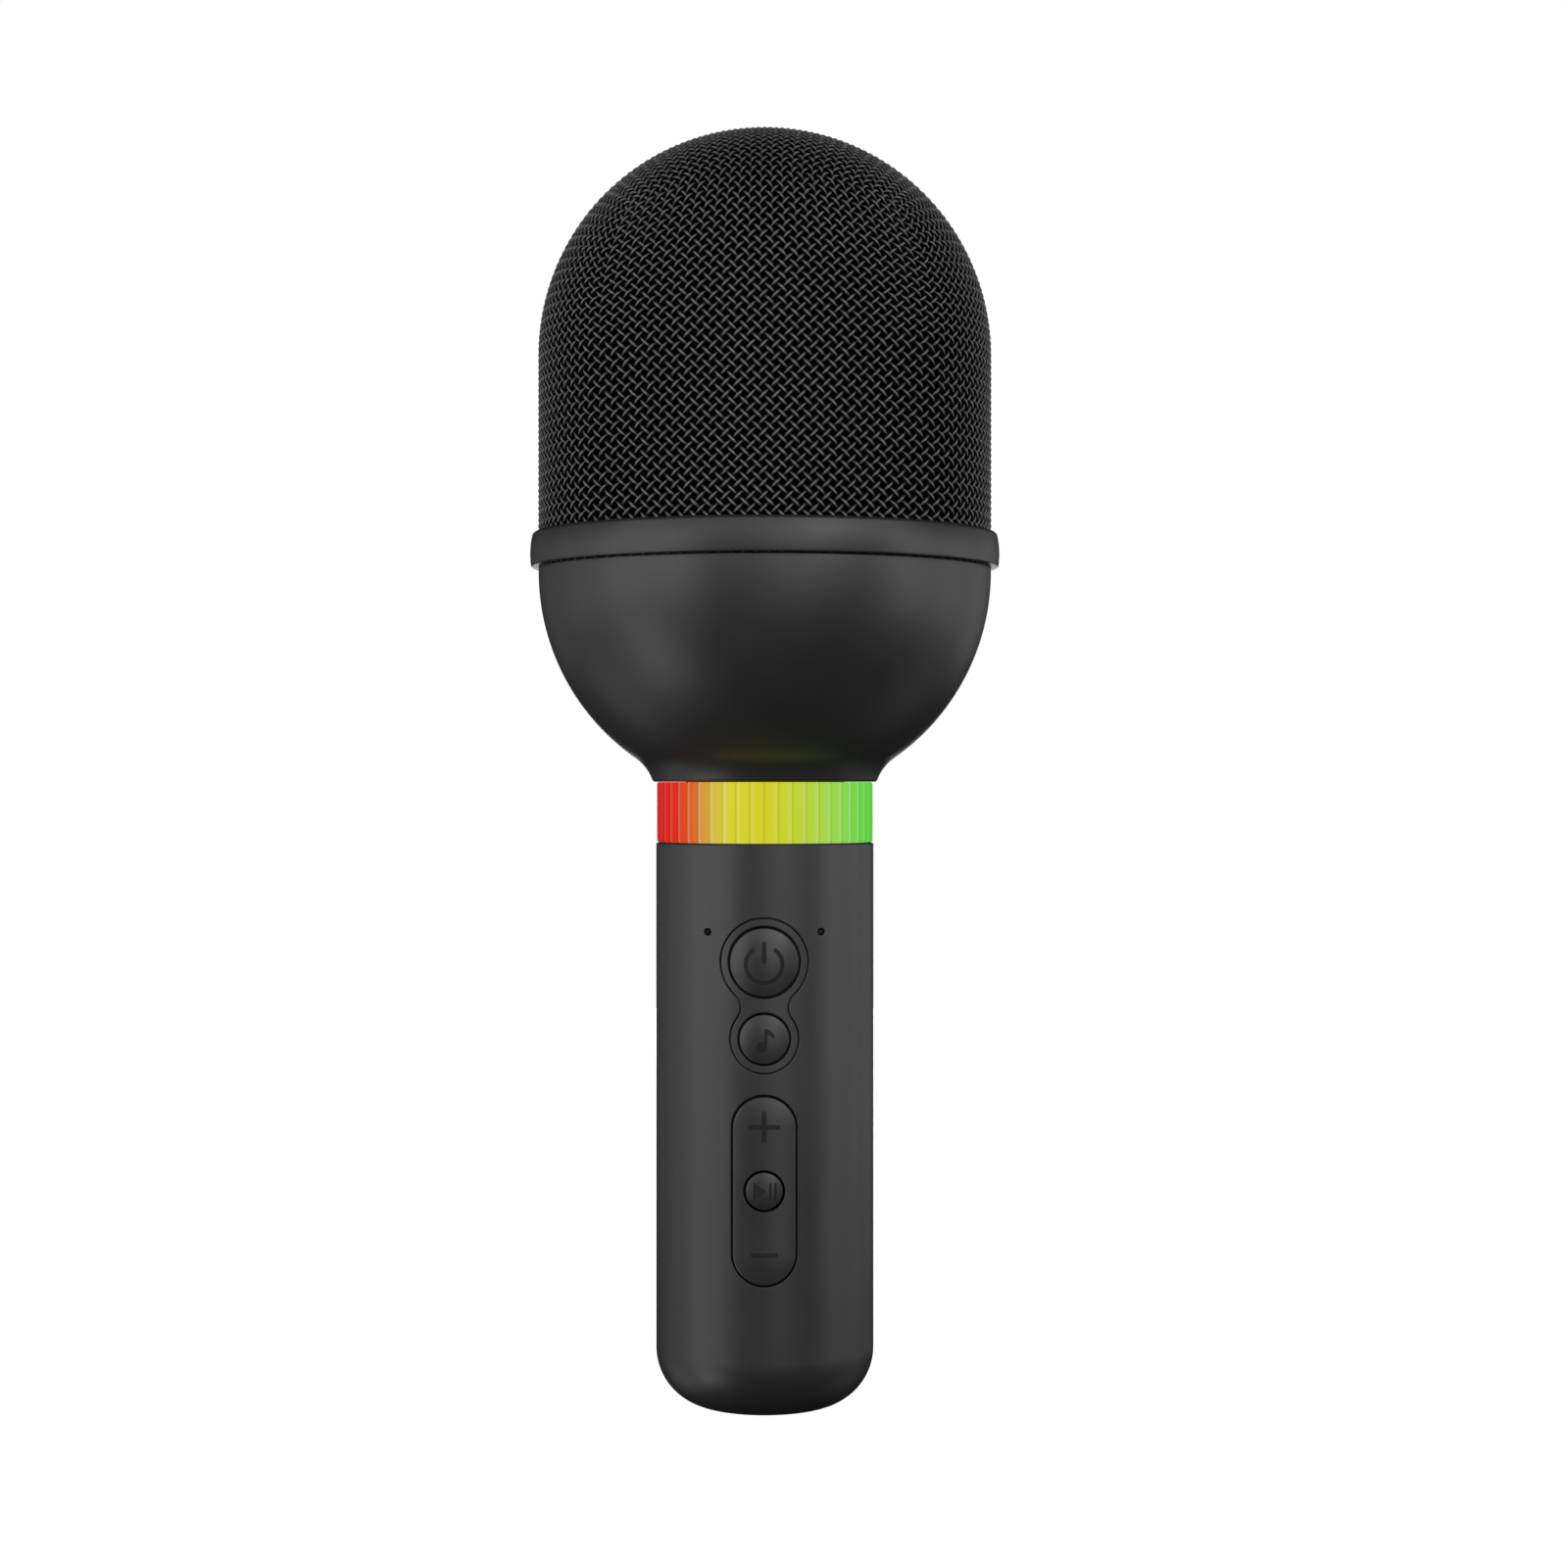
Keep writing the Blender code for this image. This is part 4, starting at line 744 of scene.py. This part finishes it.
def make_handle():
    shell = Shell()
    inner_r = HANDLE_R - HANDLE_WALL
    pocket_r = HANDLE_R - BEZEL_THICK - BEZEL_GAP
    outside = ["bezel", "rocker", "status_left", "status_right"]
    through = ["power", "mode", "rocker", "status_left", "status_right"]
    wall_top = HANDLE_TOP_Z - TOP_BEVEL
    tube_front(shell, HANDLE_R, BASE_ROUND, wall_top, [OPENINGS[n](RIM) for n in outside], False)
    tube_rest(shell, HANDLE_R, BASE_ROUND, wall_top)
    inner_low = FLOOR_THICK + BASE_ROUND - HANDLE_WALL
    tube_front(shell, inner_r, inner_low, HANDLE_TOP_Z, [OPENINGS[n](0) for n in through], True)
    tube_rest(shell, inner_r, inner_low, HANDLE_TOP_Z)
    turned_band(shell, [(HANDLE_R, wall_top), (HANDLE_R - TOP_BEVEL, HANDLE_TOP_Z),
                        (inner_r, HANDLE_TOP_Z)])
    turned_band(shell, arc((FLAT_R, BASE_ROUND), BASE_ROUND, 0, -90, 24))
    turned_band(shell, arc((FLAT_R, inner_low), BASE_ROUND - HANDLE_WALL, 0, -90, 12))
    slot_rim = 0.3
    disc_with_slot(shell, FLAT_R, 0.0, slot_rim)
    disc_with_slot(shell, FLAT_R, FLOOR_THICK, 0.0)
    loops = [[(x, y, depth) for x, y in rounded_slot(grow)] for grow, depth in edge_profile(slot_rim)]
    loops.append([(x, y, FLOOR_THICK) for x, y in rounded_slot(0)])
    shell.strips(loops)
    for name in outside:
        opening(shell, OPENINGS[name], RIM, HANDLE_R, pocket_r if name == "bezel" else inner_r)
    holes = [OPENINGS["power"](0), OPENINGS["mode"](0)]
    spots, triangles = triangulate(figure_eight(0), holes, [], grid(*KEY_PATCH))
    shell.sheet(spots, triangles, on_cylinder(pocket_r))
    for hole in holes:
        shell.strip(wrapped(hole, pocket_r), wrapped(hole, inner_r))
    mesh_piece("handle_casing", shell.points, shell.oriented(), "satin_black", "microphone_body",
               ["handle_shell"], handle_normal)


def make_bezel():
    shell = Shell()
    back_r = HANDLE_R - BEZEL_THICK
    rim = 0.12
    opening(shell, lambda grow: figure_eight(BEZEL_GAP + grow), rim, HANDLE_R, back_r)
    for name in ("power", "mode"):
        opening(shell, OPENINGS[name], rim, HANDLE_R, back_r)
    for grow, radius in ((rim, HANDLE_R), (0, back_r)):
        holes = [OPENINGS["power"](grow), OPENINGS["mode"](grow)]
        spots, triangles = triangulate(figure_eight(BEZEL_GAP + grow), holes, [], grid(*KEY_PATCH))
        shell.sheet(spots, triangles, on_cylinder(radius))
    mesh_piece("bezel_plate", shell.points, shell.oriented(), "satin_black", "microphone_body",
               ["key_bezel"], handle_normal)


# ---- keys

ICON_DEPTH, ICON_WALL = 0.2, 0.1
ICON_CLEAR = 0.16  # loose points keep this far from an icon's outline
FACE_SLACK = 1.5e-3  # how far a point may be off a key's face and still belong to it
KEY_FACE_Y = -15  # the keys' faces are all further forward than this


def inset_polygon(outline, distance):
    """A counterclockwise outline moved inwards."""
    moved = []
    count = len(outline)
    for i in range(count):
        before, here, after = (Vector(outline[(i + k) % count]) for k in (-1, 0, 1))
        a, b = (here - before).normalized(), (after - here).normalized()
        normal_a, normal_b = Vector((-a.y, a.x)), Vector((-b.y, b.x))
        middle = normal_a + normal_b
        middle /= middle.dot(normal_a)
        moved.append(tuple(here + middle * distance))
    return moved


def icon_bar(x, z, half_width, half_height):
    return [(x - half_width, z - half_height), (x + half_width, z - half_height),
            (x + half_width, z + half_height), (x - half_width, z + half_height)]


def icon_power():
    centre, outer_r, inner_r, gap_deg = (0, -0.4), 3.6, 2.88, 33
    start, end = 90 + gap_deg, 450 - gap_deg
    band = arc(centre, outer_r, start, end, 60) + arc(centre, inner_r, end, start, 60)
    return [band, icon_bar(0, 1.75, 0.39, 1.95)]


def icon_note():
    """A plain eighth note."""
    head_r, head_x, head_z, stem_left, stem_right, top = 0.95, -0.4, -1.35, 0.05, 0.55, 1.9
    start = math.degrees(math.acos((stem_left - head_x) / head_r))
    head = arc((head_x, head_z), head_r, start, 360, 30)
    flag = [(stem_right, 0.95), (1.8, 0.1), (1.8, 0.95), (stem_right, top), (stem_left, top)]
    return [head + flag]


def icon_plus():
    arm, half = 2.8, 0.42
    return [[(-half, -arm), (half, -arm), (half, -half), (arm, -half), (arm, half), (half, half),
             (half, arm), (-half, arm), (-half, half), (-arm, half), (-arm, -half), (-half, -half)]]


def icon_minus():
    return [icon_bar(0, 0, 2.33, 0.42)]


def icon_play_pause():
    triangle = [(-1.9, -1.53), (0.45, 0.0), (-1.9, 1.53)]
    return [triangle, icon_bar(1.12, 0, 0.22, 1.53), icon_bar(2.02, 0, 0.22, 1.53)]


def shifted(outlines, z):
    return [[(x, y + z) for x, y in outline] for outline in outlines]


def crowned(z_centre, radius, crown, lift):
    """Depth of a round key's face: highest in the middle, following the handle."""
    def face(x, z):
        away = (x * x + (z - z_centre) ** 2) / radius**2
        return -math.sqrt(HANDLE_R**2 - x * x) - lift - crown * (1 - away)
    return face


def rocker_face(x, z):
    """Depth of the rocker's face: it follows the handle and falls away at its ends."""
    lift, fall, reach = 0.36, 0.42, 5.5
    past = max(0.0, abs(z - ROCKER_Z) - (ROCKER_HALF_HEIGHT - ROCKER_GAP - reach))
    return -math.sqrt(HANDLE_R**2 - x * x) - lift + fall * (past / reach) ** 2


def in_icon(face):
    """Whether a point lies at the depth of the icons sunk into a face given over (x, z)."""
    return lambda x, y, z: y < KEY_FACE_Y and abs(y - face(x, z) - ICON_DEPTH) < FACE_SLACK


def surface_normal(face):
    """The normal of a face given as depth over (x, z), at its own height or an icon's."""
    def normal_at(x, y, z):
        top = face(x, z)
        if min(abs(y - top), abs(y - top - ICON_DEPTH)) > FACE_SLACK:
            return None
        step = 0.01
        slope_x = (face(x + step, z) - face(x - step, z)) / (2 * step)
        slope_z = (face(x, z + step) - face(x, z - step)) / (2 * step)
        size = math.sqrt(slope_x**2 + slope_z**2 + 1)
        return (slope_x / size, -1 / size, slope_z / size)
    return normal_at


def key_top(shell, face, shape, rim, holes, icons, spacing):
    """A key's face with its sunken icons, inside a rounded edge."""
    floors = [inset_polygon(outline, ICON_WALL) for outline in icons]
    border = shape(-rim)
    low = min(z for _, z in border)
    high = max(z for _, z in border)
    reach = max(x for x, _ in border)
    loose = grid(reach, low, high, spacing)
    band = np.zeros(len(loose), bool)
    for outline in icons:
        for (ax, az), (bx, bz) in zip(outline, outline[1:] + outline[:1]):
            spot, a = np.array(loose), np.array((ax, az))
            line = np.array((bx, bz)) - a
            along = np.clip(((spot - a) @ line) / (line @ line), 0, 1)
            band |= np.linalg.norm(spot - a - along[:, None] * line, axis=1) < ICON_CLEAR
    loose = [p for p, close in zip(loose, band) if not close]
    spots, triangles = triangulate(border, holes, icons + floors, loose)
    sunk = np.zeros(len(spots), bool)
    margin, places = 1e-4, 5  # so that a floor's own corners count as sunk
    for floor in floors:
        sunk |= inside(spots, inset_polygon(floor, -margin))
    sunken = {tuple(np.round(spot, places)) for spot, low_here in zip(spots, sunk) if low_here}

    def place(x, z):
        deep = ICON_DEPTH if tuple(np.round((x, z), places)) in sunken else 0.0
        return x, face(x, z) + deep, z

    shell.sheet(spots, triangles, place)


def edge_down(shell, face, outlines, back):
    """Follows a rounded edge down from a key's face, then through the outlines behind it."""
    loops = [[(x, face(x, z) + depth, z) for x, z in outline] for outline, depth in outlines]
    loops += [[(x, y, z) for x, z in outline] for outline, y in back]
    shell.strips(loops)


def round_key(name, node, body, z_centre, radius, icons, flange_r, flange_y):
    """A round key: a crowned face over a flange, with a short post behind."""
    crown_share, proud, spacing = 0.1, 0.02, 0.24
    face = crowned(z_centre, radius, crown_share * radius, proud)
    rim, back_y, post_r, post_y = 0.18, -15.1, 2.0, -14.8
    shell = Shell()

    def shape(grow):
        return circle((0, z_centre), radius + grow, 128)

    key_top(shell, face, shape, rim, [], shifted(icons, z_centre), spacing)
    edge = [(shape(-grow), depth) for grow, depth in edge_profile(rim)]
    back = [
        (shape(0), flange_y), (shape(flange_r - radius), flange_y), (shape(flange_r - radius), back_y),
        (shape(post_r - radius), back_y), (shape(post_r - radius), post_y), (shape(-radius), post_y),
    ]
    edge_down(shell, face, edge, back)
    mesh_piece(name, shell.points, shell.oriented(), "key_black", body, [node],
               surface_normal(face), engraved=in_icon(face))


def make_rocker():
    shell = Shell()
    half_w, half_h = ROCKER_HALF_WIDTH - ROCKER_GAP, ROCKER_HALF_HEIGHT - ROCKER_GAP
    centre = (0, ROCKER_Z)
    rim, side_rim, recess_r, recess_y = 0.1, 0.24, 4.9, -16.3
    flange, flange_y, back_y = 0.6, -15.9, -15.0
    icon_z, spacing = 11.4, 0.3

    def shape(grow):
        return pill(centre, half_w + grow, half_h + grow)

    def hole(grow):
        return circle(centre, PLAY_HOLE_R + grow, 96)

    icons = shifted(icon_plus(), ROCKER_Z + icon_z) + shifted(icon_minus(), ROCKER_Z - icon_z)
    key_top(shell, rocker_face, shape, side_rim, [hole(rim)], icons, spacing)
    edge = [(shape(-grow), depth) for grow, depth in edge_profile(side_rim)]
    back = [(shape(0), flange_y), (shape(flange), flange_y), (shape(flange), back_y)]
    edge_down(shell, rocker_face, edge, back)
    bore = [(hole(grow), depth) for grow, depth in edge_profile(rim)]
    wider = recess_r - PLAY_HOLE_R
    edge_down(shell, rocker_face, bore,
              [(hole(0), recess_y), (hole(wider), recess_y), (hole(wider), back_y)])
    back_patch = grid(6, 24, 60, 1.0)
    spots, triangles = triangulate(shape(flange), [hole(wider)], [], back_patch)
    shell.sheet(spots, triangles, lambda x, z: (x, back_y, z))
    mesh_piece("rocker_plate", shell.points, shell.oriented(), "key_black", "rocker",
               ["volume_rocker"], surface_normal(rocker_face),
               engraved=in_icon(rocker_face))


def make_keys():
    round_key("power_cap", "power_key", "power_button", POWER_Z, POWER_KEY_R, icon_power(), 7.6, -16.1)
    round_key("mode_cap", "mode_key", "mode_button", MODE_Z, MODE_KEY_R, icon_note(), 5.5, -16.1)
    round_key("play_cap", "play_key", "play_button", ROCKER_Z, PLAY_KEY_R, icon_play_pause(), 4.3,
              -15.9)
    make_rocker()


# ---- neck, bowl and collar


def make_ring():
    """The light ring: flat-topped flutes with narrow grooves between them."""
    outer_r, bore_r = RING_HIGH[0], 17.3
    low_z, top_z = RING_LOW[2] - 0.12, RING_HIGH[2] + 0.24
    per_flute = 10
    crown, groove, groove_start = 0.06, 0.36, 0.72
    bevel, nick = 0.35, 0.1
    columns = FLUTES * per_flute

    def radius_at(k):
        across = abs((k % per_flute) / per_flute - 0.5) * 2  # 0 in a flute's middle, 1 in a groove
        into_groove = max(0.0, (across - groove_start) / (1 - groove_start))
        return outer_r - crown * across**2 - groove * into_groove**1.5

    levels = [(bevel, low_z), (nick, low_z + nick), (0.0, low_z + bevel),
              (0.0, top_z - bevel), (nick, top_z - nick), (bevel, top_z)]
    points = []
    for cut, z in levels:
        points += [spun(radius_at(k) - cut, math.tau * k / columns, z) for k in range(columns)]
    points += hoop(bore_r, top_z, columns) + hoop(bore_r, low_z, columns)
    rows = [range(start, start + columns) for start in range(0, len(points), columns)]
    rows.append(rows[0])
    mesh_piece("ring_lens", points, joined(rows), "lit_ring", "microphone_body", ["light_ring"],
               sharp=24)


def bowl_outside():
    """The bowl's outline: a fillet out of the lip, and then the ball up to the shoulder."""
    lip_z = BOWL_LOW[2] + BOWL_LIP_BEVEL
    reach = BOWL_R + NECK_FILLET
    drop = BOWL_CENTRE_Z - lip_z
    away = math.hypot(BOWL_LIP_R, drop)
    spread = math.acos((away**2 + reach**2 - NECK_FILLET**2) / (2 * away * reach))
    blend = math.atan2(drop, BOWL_LIP_R) - spread
    centre = (reach * math.cos(blend), BOWL_CENTRE_Z - reach * math.sin(blend))
    lip_deg = math.degrees(math.atan2(lip_z - centre[1], BOWL_LIP_R - centre[0]))
    blend_deg = math.degrees(blend)
    neck = arc(centre, NECK_FILLET, lip_deg, 180 - blend_deg, 16)
    shoulder_deg = math.degrees(math.asin((BOWL_SHOULDER_Z - BOWL_CENTRE_Z) / BOWL_R))
    ball = arc((0, BOWL_CENTRE_Z), BOWL_R, -blend_deg, shoulder_deg, 64)
    return neck + ball[1:]


def make_bowl():
    lip_z, top_z = BOWL_LOW[2], BOWL_HIGH[2]
    ledge_z, ledge_r, ledge_thick, hollow_drop = 146.4, 35.8, 1.0, 4.0
    floor_z, hole_r = 116.7, 15.0
    inner_r = BOWL_R - BOWL_WALL
    start_deg, end_deg = (math.degrees(math.asin((z - BOWL_CENTRE_Z) / inner_r))
                          for z in (ledge_z - hollow_drop, floor_z + BOWL_WALL))
    hollow = arc((0, BOWL_CENTRE_Z), inner_r, start_deg, end_deg, 24)
    shoulder = bowl_outside()
    top = shoulder.pop()
    edge = 0.15
    outline = (
        [(hole_r, lip_z), (BOWL_LIP_R - BOWL_LIP_BEVEL, lip_z)]
        + shoulder
        + arc((top[0] - edge, BOWL_SHOULDER_Z - edge), edge, 0, 90, 4)
        + [(BOWL_SEAT_R, BOWL_SHOULDER_Z), (BOWL_SEAT_R, BOWL_SEAT_Z), (SPIGOT_R, BOWL_SEAT_Z)]
        + [(SPIGOT_R, top_z), (SPIGOT_BORE_R, top_z)]
        + [(SPIGOT_BORE_R, ledge_z), (ledge_r, ledge_z), (ledge_r, ledge_z - ledge_thick)]
        + hollow + [(hollow[-1][0] - BOWL_WALL, floor_z), (hole_r, floor_z)]
    )
    points, faces = turned(outline)
    mesh_piece("bowl_casing", points, faces, "satin_black", "microphone_body", ["head_bowl"],
               sharp=30)


def collar_round(painted_light_share, size):
    """Where a small round of this size meets the collar's barrel: its centre and its angle."""
    reach = COLLAR_BARREL_R - size
    turn = math.asin((painted_light_share - COLLAR_BARREL_Z) / reach)
    centre_r = COLLAR_HIGH[0] - COLLAR_BARREL_R + reach * math.cos(turn)
    return (centre_r, painted_light_share), math.degrees(turn)


def make_collar():
    low_z, top_z = COLLAR_LOW[2], COLLAR_HIGH[2]
    low_centre, low_deg = collar_round(low_z + COLLAR_LOW_ROUND, COLLAR_LOW_ROUND)
    top_centre, top_deg = collar_round(top_z - COLLAR_TOP_ROUND, COLLAR_TOP_ROUND)
    barrel_centre = (COLLAR_HIGH[0] - COLLAR_BARREL_R, COLLAR_BARREL_Z)
    lip_r, lip_top_z = COLLAR_BORE_R - COLLAR_LIP, low_z + COLLAR_LIP_THICK
    outline = (
        [(lip_r, low_z)]
        + arc(low_centre, COLLAR_LOW_ROUND, -90, low_deg, 6)
        + arc(barrel_centre, COLLAR_BARREL_R, low_deg, top_deg, 20)[1:-1]
        + arc(top_centre, COLLAR_TOP_ROUND, top_deg, 90, 12)
        + [(COLLAR_BORE_R, top_z), (COLLAR_BORE_R, lip_top_z), (lip_r, lip_top_z)]
    )
    points, faces = turned(outline)
    mesh_piece("collar_band", points, faces, "satin_black", "grille_head", ["grille_collar"],
               sharp=40)


# ---- grille

SIDES = 4  # the weave is laid out as on a cube with four sides and a top
TOP = 4  # the number of its top face
HALF = 13.5  # half the weave's periods across one side
STEPS = 6  # samples in each period
RIM_ROW = 31.5  # periods from the dome's side edges down to the wires' ends
WIRE_SIDES = 6
GRILLE_PIECES = 4


def quarter_turns(pair, count):
    """A pair (x, y) turned anticlockwise by this many quarter turns."""
    x, y = pair
    for _ in range(count % 4):
        x, y = -y, x
    return x, y


def grille_place(face, a, b):
    """A point of the weave's middle surface, at a and b periods, and its outward normal.

    The cube's faces are bent on to the dome, and its sides go straight down below -HALF.
    """
    s = a / HALF
    t = b / HALF if face == TOP else max(0.0, (b + HALF) / HALF)
    across = s * math.sqrt(0.5 - t * t / 6)
    along = t * math.sqrt(0.5 - s * s / 6)
    out = math.sqrt(1 - s * s / 2 - t * t / 2 + s * s * t * t / 3)
    unit = Vector((across, along, out) if face == TOP else (across, -out, along))
    point = unit * WEAVE_R + Vector((0, 0, GRILLE_EQUATOR_Z))
    if face != TOP:
        point.z += min(0.0, b + HALF) * WEAVE_R * math.sqrt(0.5) / HALF
        point.xy, unit.xy = quarter_turns(point.xy, face), quarter_turns(unit.xy, face)
    return point, unit


def wire_route(face, a, b, da, db):
    """Follows one wire over the grille from rim to rim: its points, normals and end."""
    rim = b
    half = round(HALF * STEPS)
    route = []
    while True:
        point, normal = grille_place(face, a / STEPS, b / STEPS)
        swing = CRIMP if da * db > 0 else -CRIMP
        lift = swing * math.cos(math.tau * a / STEPS)
        route.append((point + normal * lift, normal))
        if face != TOP:
            if b == rim and db < 0:
                if a == half:
                    face, a = (face + 1) % SIDES, -half
                return route, (face, a, -da)
            if db > 0 and b == 0:
                (a, b), (da, db) = quarter_turns((a, -half), face), quarter_turns((da, db), face)
                face = TOP
            elif da > 0 and a == half:
                face, a = (face + 1) % SIDES, -half
            elif da < 0 and a == -half:
                face, a = (face - 1) % SIDES, half
        else:
            for side in range(SIDES):
                (p, q), (dp, dq) = quarter_turns((a, b), -side), quarter_turns((da, db), -side)
                if q == -half and dq < 0:
                    face, a, b, da, db = side, p, 0, dp, dq
                    break
        a += da
        b += db


def tube_round(route, start):
    """Points and faces of a wire along a route; its points are numbered from start."""
    middle = np.array([tuple(p) for p, _ in route])
    normal = np.array([tuple(n) for _, n in route])
    along = np.gradient(middle, axis=0)
    along /= np.linalg.norm(along, axis=1)[:, None]
    across = np.cross(along, normal)
    across /= np.linalg.norm(across, axis=1)[:, None]
    up = np.cross(across, along)
    turns = np.arange(WIRE_SIDES) * math.tau / WIRE_SIDES
    rings = (middle[:, None, :]
             + WIRE_R * np.cos(turns)[None, :, None] * up[:, None, :]
             + WIRE_R * np.sin(turns)[None, :, None] * across[:, None, :])
    points = rings.reshape(-1, 3).tolist()
    rows = [range(i, i + WIRE_SIDES) for i in range(start, start + len(points), WIRE_SIDES)]
    return points, joined(rows) + [tuple(rows[0])[::-1], tuple(rows[-1])]


def wire_routes():
    """Every wire of the grille once, from its start on the rim."""
    rim, half = round(-RIM_ROW * STEPS), round(HALF * STEPS)
    seen, routes = set(), []
    for face in range(SIDES):
        for a in range(-half, half, STEPS):
            for da in (1, -1):
                if (face, a, da) not in seen:
                    route, end = wire_route(face, a, rim, da, 1)
                    routes.append(route)
                    seen.add(end)
    return routes


def make_grille():
    """Plain-woven wire, laid cornerwise round the cylinder and over the dome."""
    routes = wire_routes()
    for group in range(GRILLE_PIECES):
        points, faces = [], []
        for route in routes[group::GRILLE_PIECES]:
            more_points, more_faces = tube_round(route, len(points))
            points += more_points
            faces += more_faces
        mesh_piece(f"woven_wire_{group + 1}", points, faces, "wire_black", "grille_head",
                   ["grille_mesh"], sharp=None)


def make_foam():
    """The foam liner just behind the wire."""
    outer_r, thick, low_z, columns = 40.2, 4.0, 160.3, 96
    inner_r = outer_r - thick
    middle = (0, GRILLE_EQUATOR_Z)
    outline = (
        [(0, GRILLE_EQUATOR_Z + inner_r)]
        + arc(middle, inner_r, 90, 0, 24)[1:]
        + [(inner_r, low_z), (outer_r, low_z)]
        + arc(middle, outer_r, 0, 90, 48)[:-1]
        + [(0, GRILLE_EQUATOR_Z + outer_r)]
    )
    points, faces = turned(outline, columns)
    foam = mesh_piece("foam_liner", points, faces, "foam_black", "grille_head",
                      ["foam_windscreen"])


# ---- the rest


# The finish of each CAD node that stays, by how the node's name starts or ends.
NODE_FINISHES = {
    "moulded_black": ("grille_hoop", "neck_sleeve", "amplifier_chip", "battery_cradle",
                      "speaker_baffle", "capsule_bridge", "_switch"),
    "rubber_black": ("grille_gasket", "speaker_surround", "capsule_boot"),
    "paper_black": ("speaker_cone", "dust_cap", "speaker_spider"),
    "white_moulded": ("led_strip", "_plunger"),
    "smoked": ("status_light",),
    "bright_steel": ("neck_nut", "usb_socket", "board_screw", "bluetooth_module", "speaker_frame",
                     "speaker_yoke", "speaker_top_plate", "speaker_screw", "mic_capsule"),
    "ferrite_grey": ("inductor", "speaker_magnet"),
    "copper_wound": ("voice_coil",),
    "board_mask": ("main_board", "charge_board"),
    "cell_sleeve": ("battery_cell",),
    "lead_jacket": ("_lead",),
}


def finish_cad_nodes():
    """Gives every CAD node that stays its procedural finish."""
    for name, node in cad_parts.items():
        for paint, words in NODE_FINISHES.items():
            if name.startswith(words) or name.endswith(words):
                node.data.materials.clear()
                node.data.materials.append(FINISHES[paint])


make_stage()
make_finishes()
make_handle()
make_bezel()
make_keys()
make_ring()
make_bowl()
make_collar()
make_foam()
make_grille()
finish_cad_nodes()
